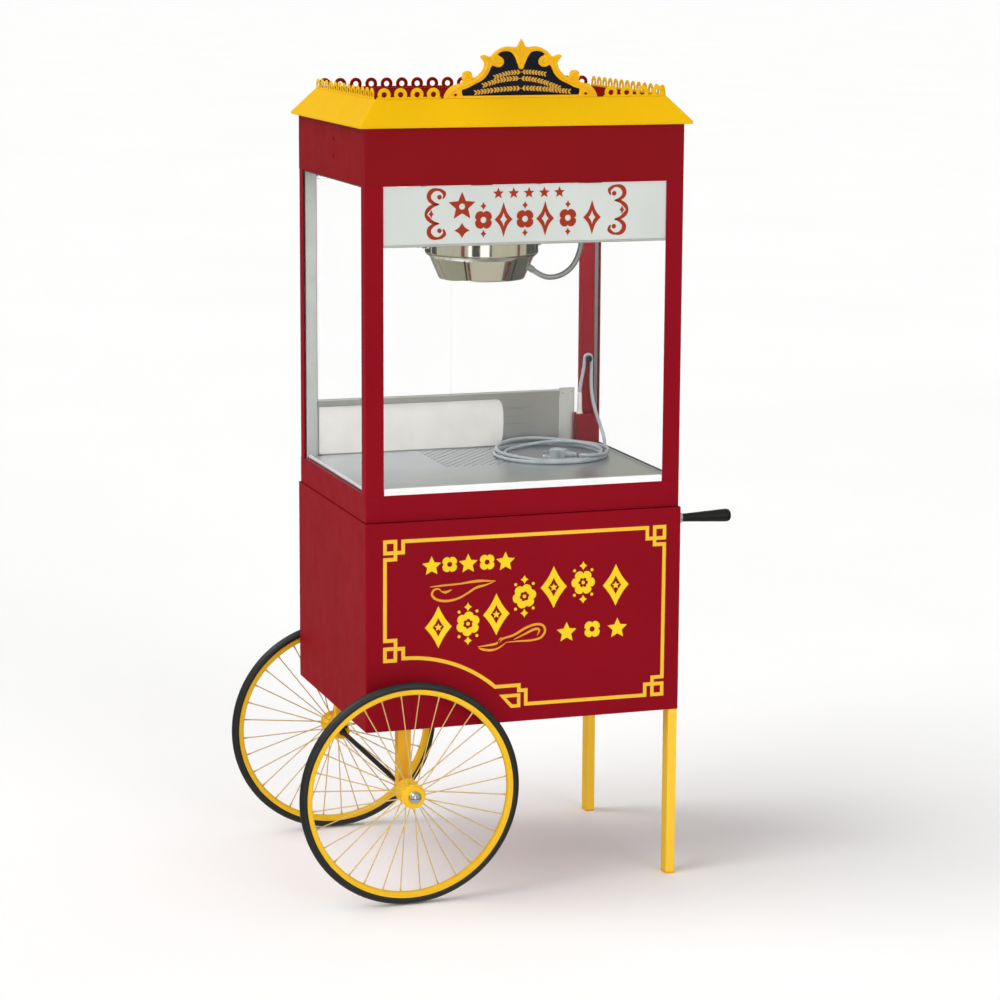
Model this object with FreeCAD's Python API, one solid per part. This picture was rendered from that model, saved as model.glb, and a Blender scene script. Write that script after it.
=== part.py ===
import FreeCAD, Part
import math
import os

# Popcorn machine on a two-wheel cart. Millimetres, +Z up, front towards -Y.
# Everything is drawn about the middle of the cart body and moved by SHIFT_X
# at the end, so that the origin is under the middle of the whole machine.

V = FreeCAD.Vector

# ---- driving dimensions -------------------------------------------------
SHIFT_X = 15.0                 # body centre to centre of the whole box

CART_W, CART_D = 715.0, 550.0  # cart body
CART_Z0, CART_Z1 = 380.0, 830.0
SHEET = 2.0                    # panel thickness

WHEEL_R, WHEEL_X, TRACK = 245.0, -268.0, 610.0
RIM_OUT, RIM_IN = 229.8, 217.6
SPOKES, SPOKE_R = 32, 1.8
AXLE_R = 8.0
RUN = 0.05                     # radial clearance of a running fit

LEG_X, LEG_Y = 21.0, 33.0
GRIP_TIP_X, GRIP_Y, GRIP_Z = 483.0, 250.0, 801.0

POP_W, POP_D = 709.4, 534.0    # popper cabinet
BASE_Z1 = 888.0
CEIL_Z = 1539.0
CANOPY_Z1 = 1660.0
POST_X, POST_Y = 39.7, 30.0
FLOOR_Z = 893.0
SIGN_Z0 = 1414.0

EAVE, ROOF_IN, ROOF_Z1 = 14.6, 44.5, 1717.5
RING_PITCH, RING_R, RING_HOLE, RING_Z = 35.6, 13.6, 6.0, 1726.5

KX, KY = -8.0, 15.0            # kettle centre
TILT_Z = 1392.0
DRUM_R0, KETTLE_R = 95.0, 125.0
DRUM_Z0, PAN_Z0, PAN_Z1 = 1311.0, 1366.0, 1440.0

CORD_D = 8.0
COIL_X, COIL_Y, COIL_RO, COIL_RI, COIL_H = 183.0, 98.0, 135.0, 109.0, 19.0

os.makedirs("parts", exist_ok=True)


# ---- helpers ------------------------------------------------------------
def box(x0, x1, y0, y1, z0, z1):
    return Part.makeBox(x1 - x0, y1 - y0, z1 - z0, V(x0, y0, z0))


def cyl(r, h, p, d=(0, 0, 1)):
    return Part.makeCylinder(r, h, V(*p), V(*d))


def fuse(*s):
    a = s[0]
    for b in s[1:]:
        a = a.fuse(b)
    return a.removeSplitter()


def cut(a, *s):
    for b in s:
        a = a.cut(b)
    return a


def turned(profile, centre=(0, 0, 0), axis="z"):
    """Closed (radius, height) profile turned about an axis through centre."""
    pts = [V(r, 0, h) for r, h in profile]
    pts.append(pts[0])
    s = Part.Face(Part.makePolygon(pts)).revolve(V(0, 0, 0), V(0, 0, 1), 360)
    if axis == "y":          # height runs along +Y
        s.rotate(V(0, 0, 0), V(1, 0, 0), -90)
    elif axis == "x":        # height runs along +X
        s.rotate(V(0, 0, 0), V(0, 1, 0), 90)
    s.translate(V(*centre))
    return solid(s)


def solid(s):
    if s.ShapeType == "Solid":
        return s
    return s.Solids[0] if s.Solids else Part.makeSolid(s)


def plate_xz(points, y0, y1):
    """Flat outline in X and Z, from y0 to y1."""
    pts = [V(x, y0, z) for x, z in points]
    pts.append(pts[0])
    return Part.Face(Part.makePolygon(pts)).extrude(V(0, y1 - y0, 0))


def plate_xy(points, z0, z1):
    pts = [V(x, y, z0) for x, y in points]
    pts.append(pts[0])
    return Part.Face(Part.makePolygon(pts)).extrude(V(0, 0, z1 - z0))


def plate_yz(points, x0, x1):
    pts = [V(x0, y, z) for y, z in points]
    pts.append(pts[0])
    return Part.Face(Part.makePolygon(pts)).extrude(V(x1 - x0, 0, 0))


def mirror_x(s):
    return s.mirror(V(0, 0, 0), V(1, 0, 0))


def mirror_y(s):
    return s.mirror(V(0, 0, 0), V(0, 1, 0))


def tube(points, r, label):
    """Round tube along straight runs joined by tangent arcs."""
    pts = [V(*p) for p in points]
    edges = []
    at = pts[0]
    radii = []
    length = 0.0
    for i in range(1, len(pts) - 1):
        a, b, c = pts[i - 1], pts[i], pts[i + 1]
        u = (b - a)
        w = (c - b)
        lu, lw = u.Length, w.Length
        u.normalize()
        w.normalize()
        turn = math.acos(max(-1.0, min(1.0, u.dot(w))))
        t = 0.45 * min(lu, lw)
        rad = t / math.tan(turn / 2.0)
        p1 = b - u * t
        p2 = b + w * t
        half = (w - u)
        half.normalize()
        mid = b + half * (rad / math.cos(turn / 2.0) - rad)
        edges.append(Part.LineSegment(at, p1).toShape())
        edges.append(Part.Arc(p1, mid, p2).toShape())
        length += (p1 - at).Length + rad * turn
        at = p2
        radii.append(round(rad, 1))
    edges.append(Part.LineSegment(at, pts[-1]).toShape())
    length += (pts[-1] - at).Length
    path = Part.Wire(edges)
    d = (pts[1] - pts[0])
    prof = Part.Wire([Part.Circle(pts[0], d, r).toShape()])
    s = path.makePipeShell([prof], True, True, 2)
    s = solid(s)
    print(label, "radii", radii, "length", round(length, 1), "volume",
          round(s.Volume), "expected", round(math.pi * r * r * length),
          "valid", s.isValid())
    return s


def out(name, *shapes):
    moved = []
    for s in shapes:
        s = s.copy()
        s.translate(V(SHIFT_X, 0, 0))
        for one in s.Solids:
            if not one.isValid() or one.Volume <= 0:
                print("CHECK", name, one.isValid(), one.Volume)
            moved.append(one)
    shape = moved[0] if len(moved) == 1 else Part.makeCompound(moved)
    shape.exportStep("parts/%s.step" % name)


# ---- cart body ----------------------------------------------------------
CX, CY = CART_W / 2, CART_D / 2
out("cart_front_panel", box(-CX, CX, -CY, -CY + SHEET, CART_Z0, CART_Z1))
end = box(-CX, -CX + SHEET, -CY + SHEET, CY - SHEET, CART_Z0, CART_Z1)
out("cart_end_panels", end, mirror_x(end))
IX, IY = CX - SHEET, CY - SHEET
out("cart_bottom_panel", box(-IX, IX, -IY, IY, CART_Z0, CART_Z0 + SHEET))
out("cart_deck", box(-IX, IX, -IY, IY, CART_Z1 - SHEET, CART_Z1))

# rear frame: two stiles and two rails round the storage doorway, whose
# sill is above the wheel, so that the doors swing clear of it
DOORWAY_X, DOORWAY_Z0, DOORWAY_Z1 = 320.0, 505.0, 790.0
stile = box(-CX, -DOORWAY_X, IY, CY, CART_Z0, CART_Z1)
out("cart_rear_frame", stile, mirror_x(stile),
    box(-DOORWAY_X, DOORWAY_X, IY, CY, DOORWAY_Z1, CART_Z1),
    box(-DOORWAY_X, DOORWAY_X, IY, CY, CART_Z0, DOORWAY_Z0))

# butt hinges, shared by the storage doors and the clear cabinet doors
PIN_R = 2.0


def cart_hinge_fixed(zc):
    ax, ay = -320.0, CY + 4.0
    s = box(-345, -325, CY, CY + 1.5, zc - 30, zc + 30)
    for a, b in ((zc - 30, zc - 10.3), (zc + 10.3, zc + 30)):
        s = s.fuse(box(-325.5, ax, CY, CY + 1.5, a, b))
        s = s.fuse(cyl(4.0, b - a, (ax, ay, a)))
    return s.fuse(cyl(PIN_R, 60, (ax, ay, zc - 30))).removeSplitter()


def cart_hinge_leaf(zc):
    ax, ay = -320.0, CY + 4.0
    s = box(-315, -296, CY, CY + 1.5, zc - 30, zc + 30)
    s = s.fuse(box(ax, -314.5, CY, CY + 1.5, zc - 10, zc + 10))
    s = s.fuse(cyl(4.0, 20, (ax, ay, zc - 10)))
    return s.cut(cyl(PIN_R + RUN, 30, (ax, ay, zc - 15)))


knob_profile = [(0, 0), (5, 0), (5, 10), (9, 13), (13, 18), (13.5, 21),
                (11, 24), (6, 25.5), (0, 26)]
HINGE_Z = (560.0, 735.0)
door = box(-318, -1, IY, CY, DOORWAY_Z0 + 1, DOORWAY_Z1 - 1)
for zc in HINGE_Z:
    door = door.fuse(cart_hinge_leaf(zc))
door = door.removeSplitter()
knob = turned(knob_profile, (-32, CY, 650), "y")
out("cart_door_left", door, knob)
out("cart_door_right", mirror_x(door), mirror_x(knob))

# ---- axle, brackets, wheels ---------------------------------------------
AZ = WHEEL_R
axle = turned([(0, -345), (AXLE_R, -345), (AXLE_R, -230), (5.5, -226),
               (5.5, 226), (AXLE_R, 230), (AXLE_R, 345), (0, 345)],
              (WHEEL_X, 0, AZ), "y")
out("axle", axle)

post = box(WHEEL_X - 15, WHEEL_X + 15, -262, -237, AZ, CART_Z0 - 3)
foot = box(WHEEL_X - 30, WHEEL_X + 30, -268, -231, CART_Z0 - 3, CART_Z0)
lug = cyl(18, 34.5, (WHEEL_X, -271.5, AZ), (0, 1, 0))
bracket = fuse(post, foot, lug)
bracket = bracket.cut(cyl(AXLE_R + RUN, 60, (WHEEL_X, -290, AZ), (0, 1, 0)))
out("axle_brackets", bracket, mirror_y(bracket))

nut = turned([(0, 0), (12, 0), (12, 6.5), (10.4, 10), (6.5, 12.8), (0, 14)],
             (0, 0, 0), "y")
nut.rotate(V(0, 0, 0), V(0, 0, 1), 180)
nut.translate(V(WHEEL_X, -338, AZ))
nut = nut.cut(cyl(AXLE_R + RUN, 7.3, (WHEEL_X, -345.3, AZ), (0, 1, 0)))
out("axle_nuts", nut, mirror_y(nut))

half_tyre = [(230.1, -8.6), (231.6, -9.9), (234.5, -10.6), (237.8, -10.2),
             (240.8, -8.7), (243.2, -5.9), (244.6, -2.8), (245, 0)]
tyre_profile = half_tyre + [(r, -h) for r, h in half_tyre[-2::-1]]
rim_profile = [(RIM_IN, -6), (RIM_IN + 2.5, -9.4), (RIM_OUT, -9.4),
               (RIM_OUT, 9.4), (RIM_IN + 2.5, 9.4), (RIM_IN, 6)]
hub_profile = [(AXLE_R + RUN, -32.5), (23, -32.5), (24, -26), (27, -26),
               (27, -22), (18, -18), (18, 18), (27, 22), (27, 26), (24, 26),
               (23, 32.5), (AXLE_R + RUN, 32.5)]


def spokes(y):
    many = []
    for i in range(SPOKES):
        a = 2 * math.pi * (i + 0.5) / SPOKES
        side = 1 if i % 2 else -1
        p = V(27.4 * math.cos(a), side * 24, 27.4 * math.sin(a))
        q = V((RIM_IN - 0.3) * math.cos(a), side * 3,
              (RIM_IN - 0.3) * math.sin(a))
        many.append(cyl(SPOKE_R, (q - p).Length,
                        (WHEEL_X + p.x, y + p.y, AZ + p.z), tuple(q - p)))
    return many


for name, y in (("front", -TRACK / 2), ("rear", TRACK / 2)):
    c = (WHEEL_X, y, AZ)
    out("tyre_" + name, turned(tyre_profile, c, "y"))
    out("rim_" + name, turned(rim_profile, c, "y"))
    out("spokes_" + name, *spokes(y))
    out("hub_" + name, turned(hub_profile, c, "y"))

# ---- legs and push handles ----------------------------------------------
LX1 = CX - 2.0
LX0 = LX1 - LEG_X
leg = cut(box(LX0, LX1, -CY, -CY + LEG_Y, 4, CART_Z0),
          box(LX0 + 1.6, LX1 - 1.6, -CY + 1.6, -CY + LEG_Y - 1.6, 3, CART_Z0 - 1.6))
cap = fuse(box(LX0, LX1, -CY, -CY + LEG_Y, 0, 4),
           box(LX0 + 1.8, LX1 - 1.8, -CY + 1.8, -CY + LEG_Y - 1.8, 4, 22))
out("legs", leg, mirror_y(leg))
out("leg_feet", cap, mirror_y(cap))

grip_profile = [(0, 0), (13.5, 0), (13.5, 3), (8.6, 4.5), (8.8, 12),
                (10.5, 45), (12.6, 85), (13.9, 108), (14.1, 115),
                (13.2, 120), (10.6, 123.6), (6, 125.2), (0, 125.6)]
grip = turned(grip_profile, (0, 0, 0), "x")
grip.translate(V(GRIP_TIP_X - 125.6 + 0.1, -GRIP_Y, GRIP_Z))
grip.translate(V(CX - grip.BoundBox.XMin, 0, 0))
out("handle_grips", grip, mirror_y(grip))

# ---- popper base, floor, crumb drawer ------------------------------------
PX, PY = POP_W / 2, POP_D / 2
base = box(-PX, PX, -PY, PY, CART_Z1, BASE_Z1)
base = cut(base,
           box(-PX + SHEET, PX - SHEET, -PY + SHEET, PY - SHEET,
               CART_Z1 - 1, BASE_Z1 - SHEET),
           box(-PX + POST_X, PX - POST_X, -PY + POST_Y, PY - POST_Y,
               BASE_Z1 - 5, BASE_Z1 + 1),
           box(-150, 150, PY - 5, PY + 1, CART_Z1 - 1, 876))
out("popper_base", base)

FX, FY = 344.0, 230.0
outline = [(-FX, -FY), (FX, -FY), (FX, FY), (290, FY), (290, 243),
           (-312, 243), (-312, FY), (-FX, FY)]
inner = [(-FX + 2, -FY + 2), (FX - 2, -FY + 2), (FX - 2, FY - 2),
         (288, FY - 2), (288, 241), (-310, 241), (-310, FY - 2),
         (-FX + 2, FY - 2)]
floor = plate_xy(outline, BASE_Z1, FLOOR_Z)
floor = floor.cut(plate_xy(inner, BASE_Z1 - 1, FLOOR_Z - 1.5))
holes = []
for j in range(19):
    for i in range(9):
        holes.append(cyl(3.8, 20, (-86 + 20 * i + 10 * (j % 2), 14 + 12 * j,
                                   FLOOR_Z - 10)))
floor = floor.cut(Part.makeCompound(holes))
out("floor_pan", floor)

DZ0, DZ1 = CART_Z1 + 0.3, 872.0
tray = cut(box(-145, 145, 0, PY + 0.3, DZ0, DZ1),
           box(-143.5, 143.5, 1.5, PY - 1.2, DZ0 + 1.5, DZ1 + 1))
tray = tray.fuse(box(-156, 156, PY + 0.3, PY + 2.3, CART_Z1 + 1, 882))
pull = [box(-45, 45, PY + 18, PY + 23, 851, 861),
        box(-45, -39, PY + 2.3, PY + 18, 851, 861),
        box(39, 45, PY + 2.3, PY + 18, 851, 861)]
out("crumb_drawer", tray.removeSplitter(), *pull)

# ---- corner posts, jamb, raceway -----------------------------------------
post = fuse(box(-PX, -PX + POST_X, -PY, -PY + SHEET, BASE_Z1, CEIL_Z),
            box(-PX, -PX + SHEET, -PY, -PY + POST_Y, BASE_Z1, CEIL_Z))
out("corner_posts", post, mirror_x(post), mirror_y(post),
    mirror_x(mirror_y(post)))

race = cut(box(308, 348, 238, 258, 963, CEIL_Z),
           box(309.5, 346.5, 239.5, 256.5, 962, CEIL_Z + 1))
junction = cut(box(296, 348, 220, 258, FLOOR_Z, 963),
               box(297.5, 346.5, 221.5, 256.5, FLOOR_Z + 1.5, 961.5))
junction = junction.cut(cyl(5.5, 10, (303.2, 231, 958)))
out("wiring_raceway", race, junction)

# ---- glazing, sign, sill, apron ------------------------------------------
front = box(-346, 346, -PY + 2.2, -PY + 6.2, 902, SIGN_Z0)
side = box(-352.4, -348.4, -258, 256, BASE_Z1, CEIL_Z - 1)
out("glass_panes", front, side, mirror_x(side))
out("sign_panel", box(-346, 346, -PY + 2.2, -PY + 5.2, SIGN_Z0 + 0.5, CEIL_Z - 1))
out("glass_sill", box(-314, 314, -PY + 0.5, -PY + 10, BASE_Z1, 902))

apron = fuse(box(-322.6, 256.6, 244, 246, BASE_Z1, 1020),
             box(-322.6, 256.6, 237.5, 246, 1018, 1020),
             box(-322.6, 256.6, 237.5, 239, 1006, 1020))
catch = box(257, 295.5, 244, 246, BASE_Z1, 1023)
# pale plate on the apron's inner face, its right end rounded
liner = plate_xz([(-318, 895), (105, 895), (114, 900), (119, 912), (121, 935),
                  (121.5, 955), (120, 980), (115, 996), (106, 1003),
                  (-318, 1003)], 242.6, 244)
jamb = cut(box(-348, -323, 238, 258, BASE_Z1, CEIL_Z),
           box(-346.5, -324.5, 239.5, 256.5, BASE_Z1 - 1, CEIL_Z + 1))
out("rear_apron", apron, catch, liner, jamb)

# ---- clear cabinet doors at the back -------------------------------------
HX, HY = -317.0, PY + 4.0


def cab_hinge_fixed(zc):
    s = box(-345, -322, PY, PY + 1.5, zc - 10, zc + 10)
    for a, b in ((zc - 10, zc - 3.8), (zc + 3.8, zc + 10)):
        s = s.fuse(box(-323, HX, PY + 0.6, PY + 2.1, a, b))
        s = s.fuse(cyl(3.5, b - a, (HX, HY, a)))
    return s.fuse(cyl(PIN_R, 20, (HX, HY, zc - 10))).removeSplitter()


def cab_hinge_leaf(zc):
    s = box(-313, -288, PY - 3, PY - 1.5, zc - 10, zc + 10)
    s = s.fuse(box(-313, -311.5, PY - 3, PY + 5.5, zc - 3.5, zc + 3.5))
    s = s.fuse(box(HX, -311.5, PY + 3, PY + 5.5, zc - 3.5, zc + 3.5))
    s = s.fuse(cyl(3.5, 7, (HX, HY, zc - 3.5)))
    return s.cut(cyl(PIN_R + RUN, 30, (HX, HY, zc - 15))).removeSplitter()


pane = box(-313, -1.5, PY - 7, PY - 3, BASE_Z1 + 3, CEIL_Z - 4)
knob = turned([(0, 0), (4, 0), (4, 9), (8, 12), (11.5, 16), (12, 19),
               (9.5, 21.5), (5, 22.7), (0, 23)], (-30, PY - 3, 990), "y")
CAB_HINGE_Z = (905.0, 1525.0)
leaves = [cab_hinge_leaf(z) for z in CAB_HINGE_Z]
out("door_left", pane, knob, *leaves)
out("door_right", mirror_x(pane), mirror_x(knob), *[mirror_x(s) for s in leaves])

fixed = [cart_hinge_fixed(z) for z in HINGE_Z]
fixed += [cab_hinge_fixed(z) for z in CAB_HINGE_Z]
out("hinge_pins", *(fixed + [mirror_x(s) for s in fixed]))

# ---- canopy, ceiling, control panel --------------------------------------
screws = []
shell = fuse(box(-PX, PX, -PY, -PY + SHEET, CEIL_Z, CANOPY_Z1),
             box(-PX, -PX + SHEET, -PY, PY - SHEET, CEIL_Z, CANOPY_Z1),
             box(PX - SHEET, PX, -PY, PY - SHEET, CEIL_Z, CANOPY_Z1))
for z in (1624.0, 1587.0):
    for sx in (-1, 1):
        p = (sx * (PX - 8), -22, z)
        d = (sx, 0, 0)
        shell = shell.cut(cyl(2.15, 20, (sx * (PX - 10), -22, z), d))
        head = turned([(0, 0), (4.6, 0), (4.2, 1.2), (2.8, 2.2), (0, 2.6)],
                      (0, 0, 0), "x")
        if sx < 0:
            head = mirror_x(head)
        head.translate(V(sx * PX, -22, z))
        screws.append(fuse(head, cyl(2.0, 8, p, d)))
out("canopy_shell", shell)
out("canopy_screws", *screws)

SW_Z, SW_X = 1600.0, (-70.0, 0.0, 70.0)
panel = box(-PX, PX, PY - SHEET, PY, CEIL_Z, CANOPY_Z1)
for x in SW_X:
    panel = panel.cut(box(x - 10.5, x + 10.5, PY - 5, PY + 5, SW_Z - 15, SW_Z + 15))
out("control_panel", panel)
rocker_outline = [(-6, -7), (1, -12.5), (7, -13), (4.6, 0), (7, 13),
                  (1, 12.5), (-6, 7)]
for name, x in zip(("switch_heat", "switch_motor", "switch_light"), SW_X):
    r = plate_yz([(PY - 3 + y, SW_Z + z) for y, z in rocker_outline],
                 x - 9.5, x + 9.5)
    r.rotate(V(x, PY - 3, SW_Z), V(1, 0, 0), -8)
    out(name, r)

LEAD_TOP = (224.0, KY, CEIL_Z)
ceiling = box(-352.5, 352.5, -PY + 2.2, PY - 2.2, CEIL_Z, CEIL_Z + SHEET)
out("canopy_ceiling", ceiling)

# ---- roof, gallery, crest -------------------------------------------------
def rect(hx, hy, z):
    return Part.makePolygon([V(-hx, -hy, z), V(hx, -hy, z), V(hx, hy, z),
                             V(-hx, hy, z), V(-hx, -hy, z)])


EX, EY = PX + EAVE, PY + EAVE
TX, TY = EX - ROOF_IN, EY - ROOF_IN
LIP = 6.0
hip = Part.makeLoft([rect(EX, EY, CANOPY_Z1 + LIP), rect(TX, TY, ROOF_Z1)],
                    True, True)
void = Part.makeLoft([rect(EX - 3, EY - 3, CANOPY_Z1 + LIP),
                      rect(TX - 3, TY - 3, ROOF_Z1 - 3.0)], True, True)
roof = box(-EX, EX, -EY, EY, CANOPY_Z1, CANOPY_Z1 + LIP).fuse(hip)
roof = cut(roof, void,
           box(-EX + 3, EX - 3, -EY + 3, EY - 3, CANOPY_Z1 + 2, CANOPY_Z1 + LIP),
           box(-340, 340, -252, 252, CANOPY_Z1 - 1, CANOPY_Z1 + 3))
out("roof", roof.removeSplitter())


def gallery(n0, n1, count, a, b, along):
    """Pierced strip with rounded tops, from n0 to n1."""
    mid = 0.5 * (n0 + n1)
    strip = box(n0, n1, a, b, ROOF_Z1, ROOF_Z1 + 4)
    start = mid - 0.5 * (count - 1) * RING_PITCH
    for i in range(count):
        x = start + i * RING_PITCH
        strip = strip.fuse(cyl(RING_R, b - a, (x, a, RING_Z), (0, 1, 0)))
    strip = strip.cut(box(n0 - 30, n1 + 30, a - 1, b + 1, ROOF_Z1 - 30, ROOF_Z1))
    for i in range(count):
        x = start + i * RING_PITCH
        strip = strip.cut(cyl(RING_HOLE, b - a + 2, (x, a - 1, RING_Z), (0, 1, 0)))
    if along == "y":
        strip.rotate(V(0, 0, 0), V(0, 0, 1), 90)
    return strip.removeSplitter()


g_front = gallery(-320, -181, 4, -TY + 0.1, -TY + 2.1, "x")
g_rear = gallery(-322, 322, 18, TY - 2.1, TY - 0.1, "x")
g_side = gallery(-230, 230, 13, -TX + 0.1, -TX + 2.1, "y")
out("gallery_rails", g_front, mirror_x(g_front), g_rear, g_side,
    mirror_x(g_side))

# crest: scrolled frame round a dark field, standing on the roof's front edge
half = [(0, 1841), (4, 1834), (10, 1827), (24, 1824.5), (40, 1823),
        (54, 1816), (63, 1805), (68, 1799), (76, 1803), (86, 1806),
        (93, 1800), (90, 1792), (83, 1787), (84, 1777), (93, 1764),
        (106, 1757), (109, 1767), (117, 1775.5), (128, 1773), (134, 1763),
        (133, 1754), (147, 1750), (160, 1741), (168, 1731), (176, 1717.5)]
CREST_X = -4.0
outer = [(x + CREST_X, z) for x, z in half + [(-x, z) for x, z in half[:0:-1]]]
half_in = [(0, 1784), (6, 1792), (14, 1804), (26, 1812), (38, 1813),
           (49, 1807), (54, 1797), (57, 1786), (66, 1776), (74, 1766),
           (84, 1754), (98, 1746), (112, 1742), (124, 1736), (130, 1726),
           (130, 1722)]
inner = [(x + CREST_X, z)
         for x, z in half_in + [(-x, z) for x, z in half_in[:0:-1]]]
frame = plate_xz(outer, -TY + 0.1, -TY + 5.1)
frame = frame.cut(plate_xz(inner, -TY - 1, -TY + 6))
out("crest_frame", frame)
back = [(x * 1.02, z + (1.5 if z > 1725 else -4.3)) for x, z in half_in]
back = [(x + CREST_X, z) for x, z in back + [(-x, z) for x, z in back[:0:-1]]]
out("crest_field", plate_xz(back, -TY + 5.2, -TY + 7.2))

# ---- kettle ---------------------------------------------------------------
W = 1.5
drum = turned([(0, DRUM_Z0), (DRUM_R0, DRUM_Z0), (114.5, 1358),
               (KETTLE_R - 3, PAN_Z0), (KETTLE_R - 3 - W, PAN_Z0),
               (113.2, 1359.3), (DRUM_R0 - 0.8, DRUM_Z0 + W),
               (0, DRUM_Z0 + W)], (KX, KY, 0))
LEAD_DIR = (0.819, 0.0, -0.574)
noz = cyl(8.5, 26.77, (KX + 98, KY, 1340.1), LEAD_DIR)
drum = fuse(drum, noz)
out("kettle_drum", drum)

# the pan's wall is made up of sectors that close flush, edge to edge
STAVES = 16
wall_profile = [(KETTLE_R - W, PAN_Z0 + 0.1), (KETTLE_R, PAN_Z0 + 0.1),
                (KETTLE_R, PAN_Z1 - 2), (KETTLE_R + 4, PAN_Z1 - 2),
                (KETTLE_R + 4, PAN_Z1), (KETTLE_R - W, PAN_Z1)]
pan_wall = []
for i in range(STAVES):
    pts = [V(r, 0, h) for r, h in wall_profile]
    s = Part.Face(Part.makePolygon(pts + pts[:1])).revolve(
        V(0, 0, 0), V(0, 0, 1), 360.0 / STAVES)
    s.rotate(V(0, 0, 0), V(0, 0, 1), 360.0 / STAVES * i)
    s.translate(V(KX, KY, 0))
    pan_wall.append(solid(s))
pan_floor = turned([(0, PAN_Z0 + 0.1), (KETTLE_R - W - 0.05, PAN_Z0 + 0.1),
                    (KETTLE_R - W - 0.05, PAN_Z0 + 8), (KETTLE_R - 4, PAN_Z0 + 5),
                    (0, PAN_Z0 + 5)], (KX, KY, 0))
trun_r = fuse(cyl(14, 5.8, (KX + KETTLE_R + 0.2, KY, TILT_Z), (1, 0, 0)),
              cyl(6, 12, (KX + KETTLE_R + 5, KY, TILT_Z), (1, 0, 0)))
trun_l = fuse(cyl(14, 5.8, (KX - KETTLE_R - 0.2, KY, TILT_Z), (-1, 0, 0)),
              cyl(6, 20, (KX - KETTLE_R - 5, KY, TILT_Z), (-1, 0, 0)))
out("kettle_pan", pan_floor, trun_r, trun_l, *pan_wall)

ring = Part.makeTorus(70, 4.5, V(KX, KY, 1358))
out("heating_element", ring)

END = KETTLE_R + 3.5
bar = box(KX - END, KX + END, KY - 7, KY + 7, 1446, 1451)
for sx in (-1, 1):
    a, b = sorted((sx * (END - 4.5), sx * END))
    bar = bar.fuse(box(KX + a, KX + b, KY - 7, KY + 7, PAN_Z1, 1446.5))
    c, d = sorted((sx * 57, sx * 61))
    for sy in (-1, 1):
        e, f = sorted((sy * 6, sy * 14.5))
        bar = bar.fuse(box(KX + c, KX + d, KY + e, KY + f, 1444.5, 1449.5))
for sy in (-1, 1):
    bar = bar.fuse(cyl(PIN_R, 122, (KX - 61, KY + sy * 12, 1447), (1, 0, 0)))
bar = bar.cut(cyl(5 + RUN, 20, (KX, KY, 1440)))
out("kettle_crossbar", bar.removeSplitter())


def lid():
    s = cyl(KETTLE_R - 3, 1.5, (KX, KY, PAN_Z1 + 0.4))
    s = s.common(box(KX - 200, KX + 200, KY - 200, KY - 15, 1430, 1450))
    for a in (-50, 35):
        s = s.fuse(box(KX + a, KX + a + 15, KY - 19, KY - 13.2, PAN_Z1 + 0.4, 1447))
        s = s.fuse(cyl(4, 15, (KX + a, KY - 12, 1447), (1, 0, 0)))
    for a in (-50, 35):
        s = s.cut(cyl(PIN_R + RUN, 25, (KX + a - 5, KY - 12, 1447), (1, 0, 0)))
    # lift tab on the rim edge
    s = s.fuse(box(KX - 12, KX + 12, KY - 120, KY - 110, PAN_Z1 + 1.5, PAN_Z1 + 8))
    return s.removeSplitter()


lf = lid()
out("lid_front", lf)
lr = lf.copy()
lr.rotate(V(KX, KY, 0), V(0, 0, 1), 180)
out("lid_rear", lr)

motor = fuse(cyl(9, 19.5, (KX, KY, 1451)),
             box(KX - 28, KX + 28, KY - 28, KY + 28, 1470, 1496),
             cyl(24, 26, (KX, KY, 1496)))
motor = motor.cut(cyl(5 + RUN, 36, (KX, KY, 1450)))
out("kettle_motor", motor)

# stirrer: hub and shaft, four welded arms, two upright paddles
hub_cut = cyl(10, 20, (KX, KY, 1365))
arm_x = cut(box(KX + 5, KX + 106, KY - 6, KY + 6, 1373, 1376), hub_cut)
arm_y = cut(box(KX - 6, KX + 6, KY + 5, KY + 106, 1373, 1376), hub_cut)
paddle = box(KX + 86, KX + 106, KY - 1.5, KY + 1.5, 1376, 1388)
stir = [cyl(10, 8, (KX, KY, 1373)), cyl(5, 104, (KX, KY, 1381)), arm_x, arm_y, paddle]
for s in (arm_x, arm_y, paddle):
    t = s.copy()
    t.rotate(V(KX, KY, 0), V(0, 0, 1), 180)
    stir.append(t)
out("agitator", *stir)

LX = KX - KETTLE_R - 19
lever = fuse(cyl(11, 4, (LX - 4, KY, TILT_Z), (1, 0, 0)),
             box(LX - 4, LX, KY, KY + 104, TILT_Z - 6, TILT_Z + 6))
lever = lever.cut(cyl(6.02, 20, (LX - 12, KY, TILT_Z), (1, 0, 0)))
lever = lever.fuse(turned([(0, 0), (6, 0), (7, 4), (11, 10), (12, 20), (10.5, 27),
                           (6, 31), (0, 32)], (0, 0, 0), "x").mirror(
                               V(0, 0, 0), V(1, 0, 0)).translated(
                                   V(LX - 4, KY + 97, TILT_Z)))
lever.rotate(V(LX, KY, TILT_Z), V(1, 0, 0), 8)
out("dump_lever", lever.removeSplitter())

arms = []
for sx in (-1, 1):
    a, b = sorted((sx * (KETTLE_R + 6.5), sx * (KETTLE_R + 10.5)))
    f0, f1 = sorted((sx * (KETTLE_R + 10.5), sx * (KETTLE_R + 34)))
    arm = fuse(box(KX + a, KX + b, KY - 13, KY + 13, TILT_Z, CEIL_Z),
               cyl(13, b - a, (KX + a, KY, TILT_Z), (1, 0, 0)))
    arm = arm.cut(cyl(6 + RUN, 30, (KX + a - 10, KY, TILT_Z), (1, 0, 0)))
    arms.append(arm)
    arms.append(box(KX + f0, KX + f1, KY - 13, KY + 13, CEIL_Z - 3, CEIL_Z))
out("kettle_hangers", *arms)

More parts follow.
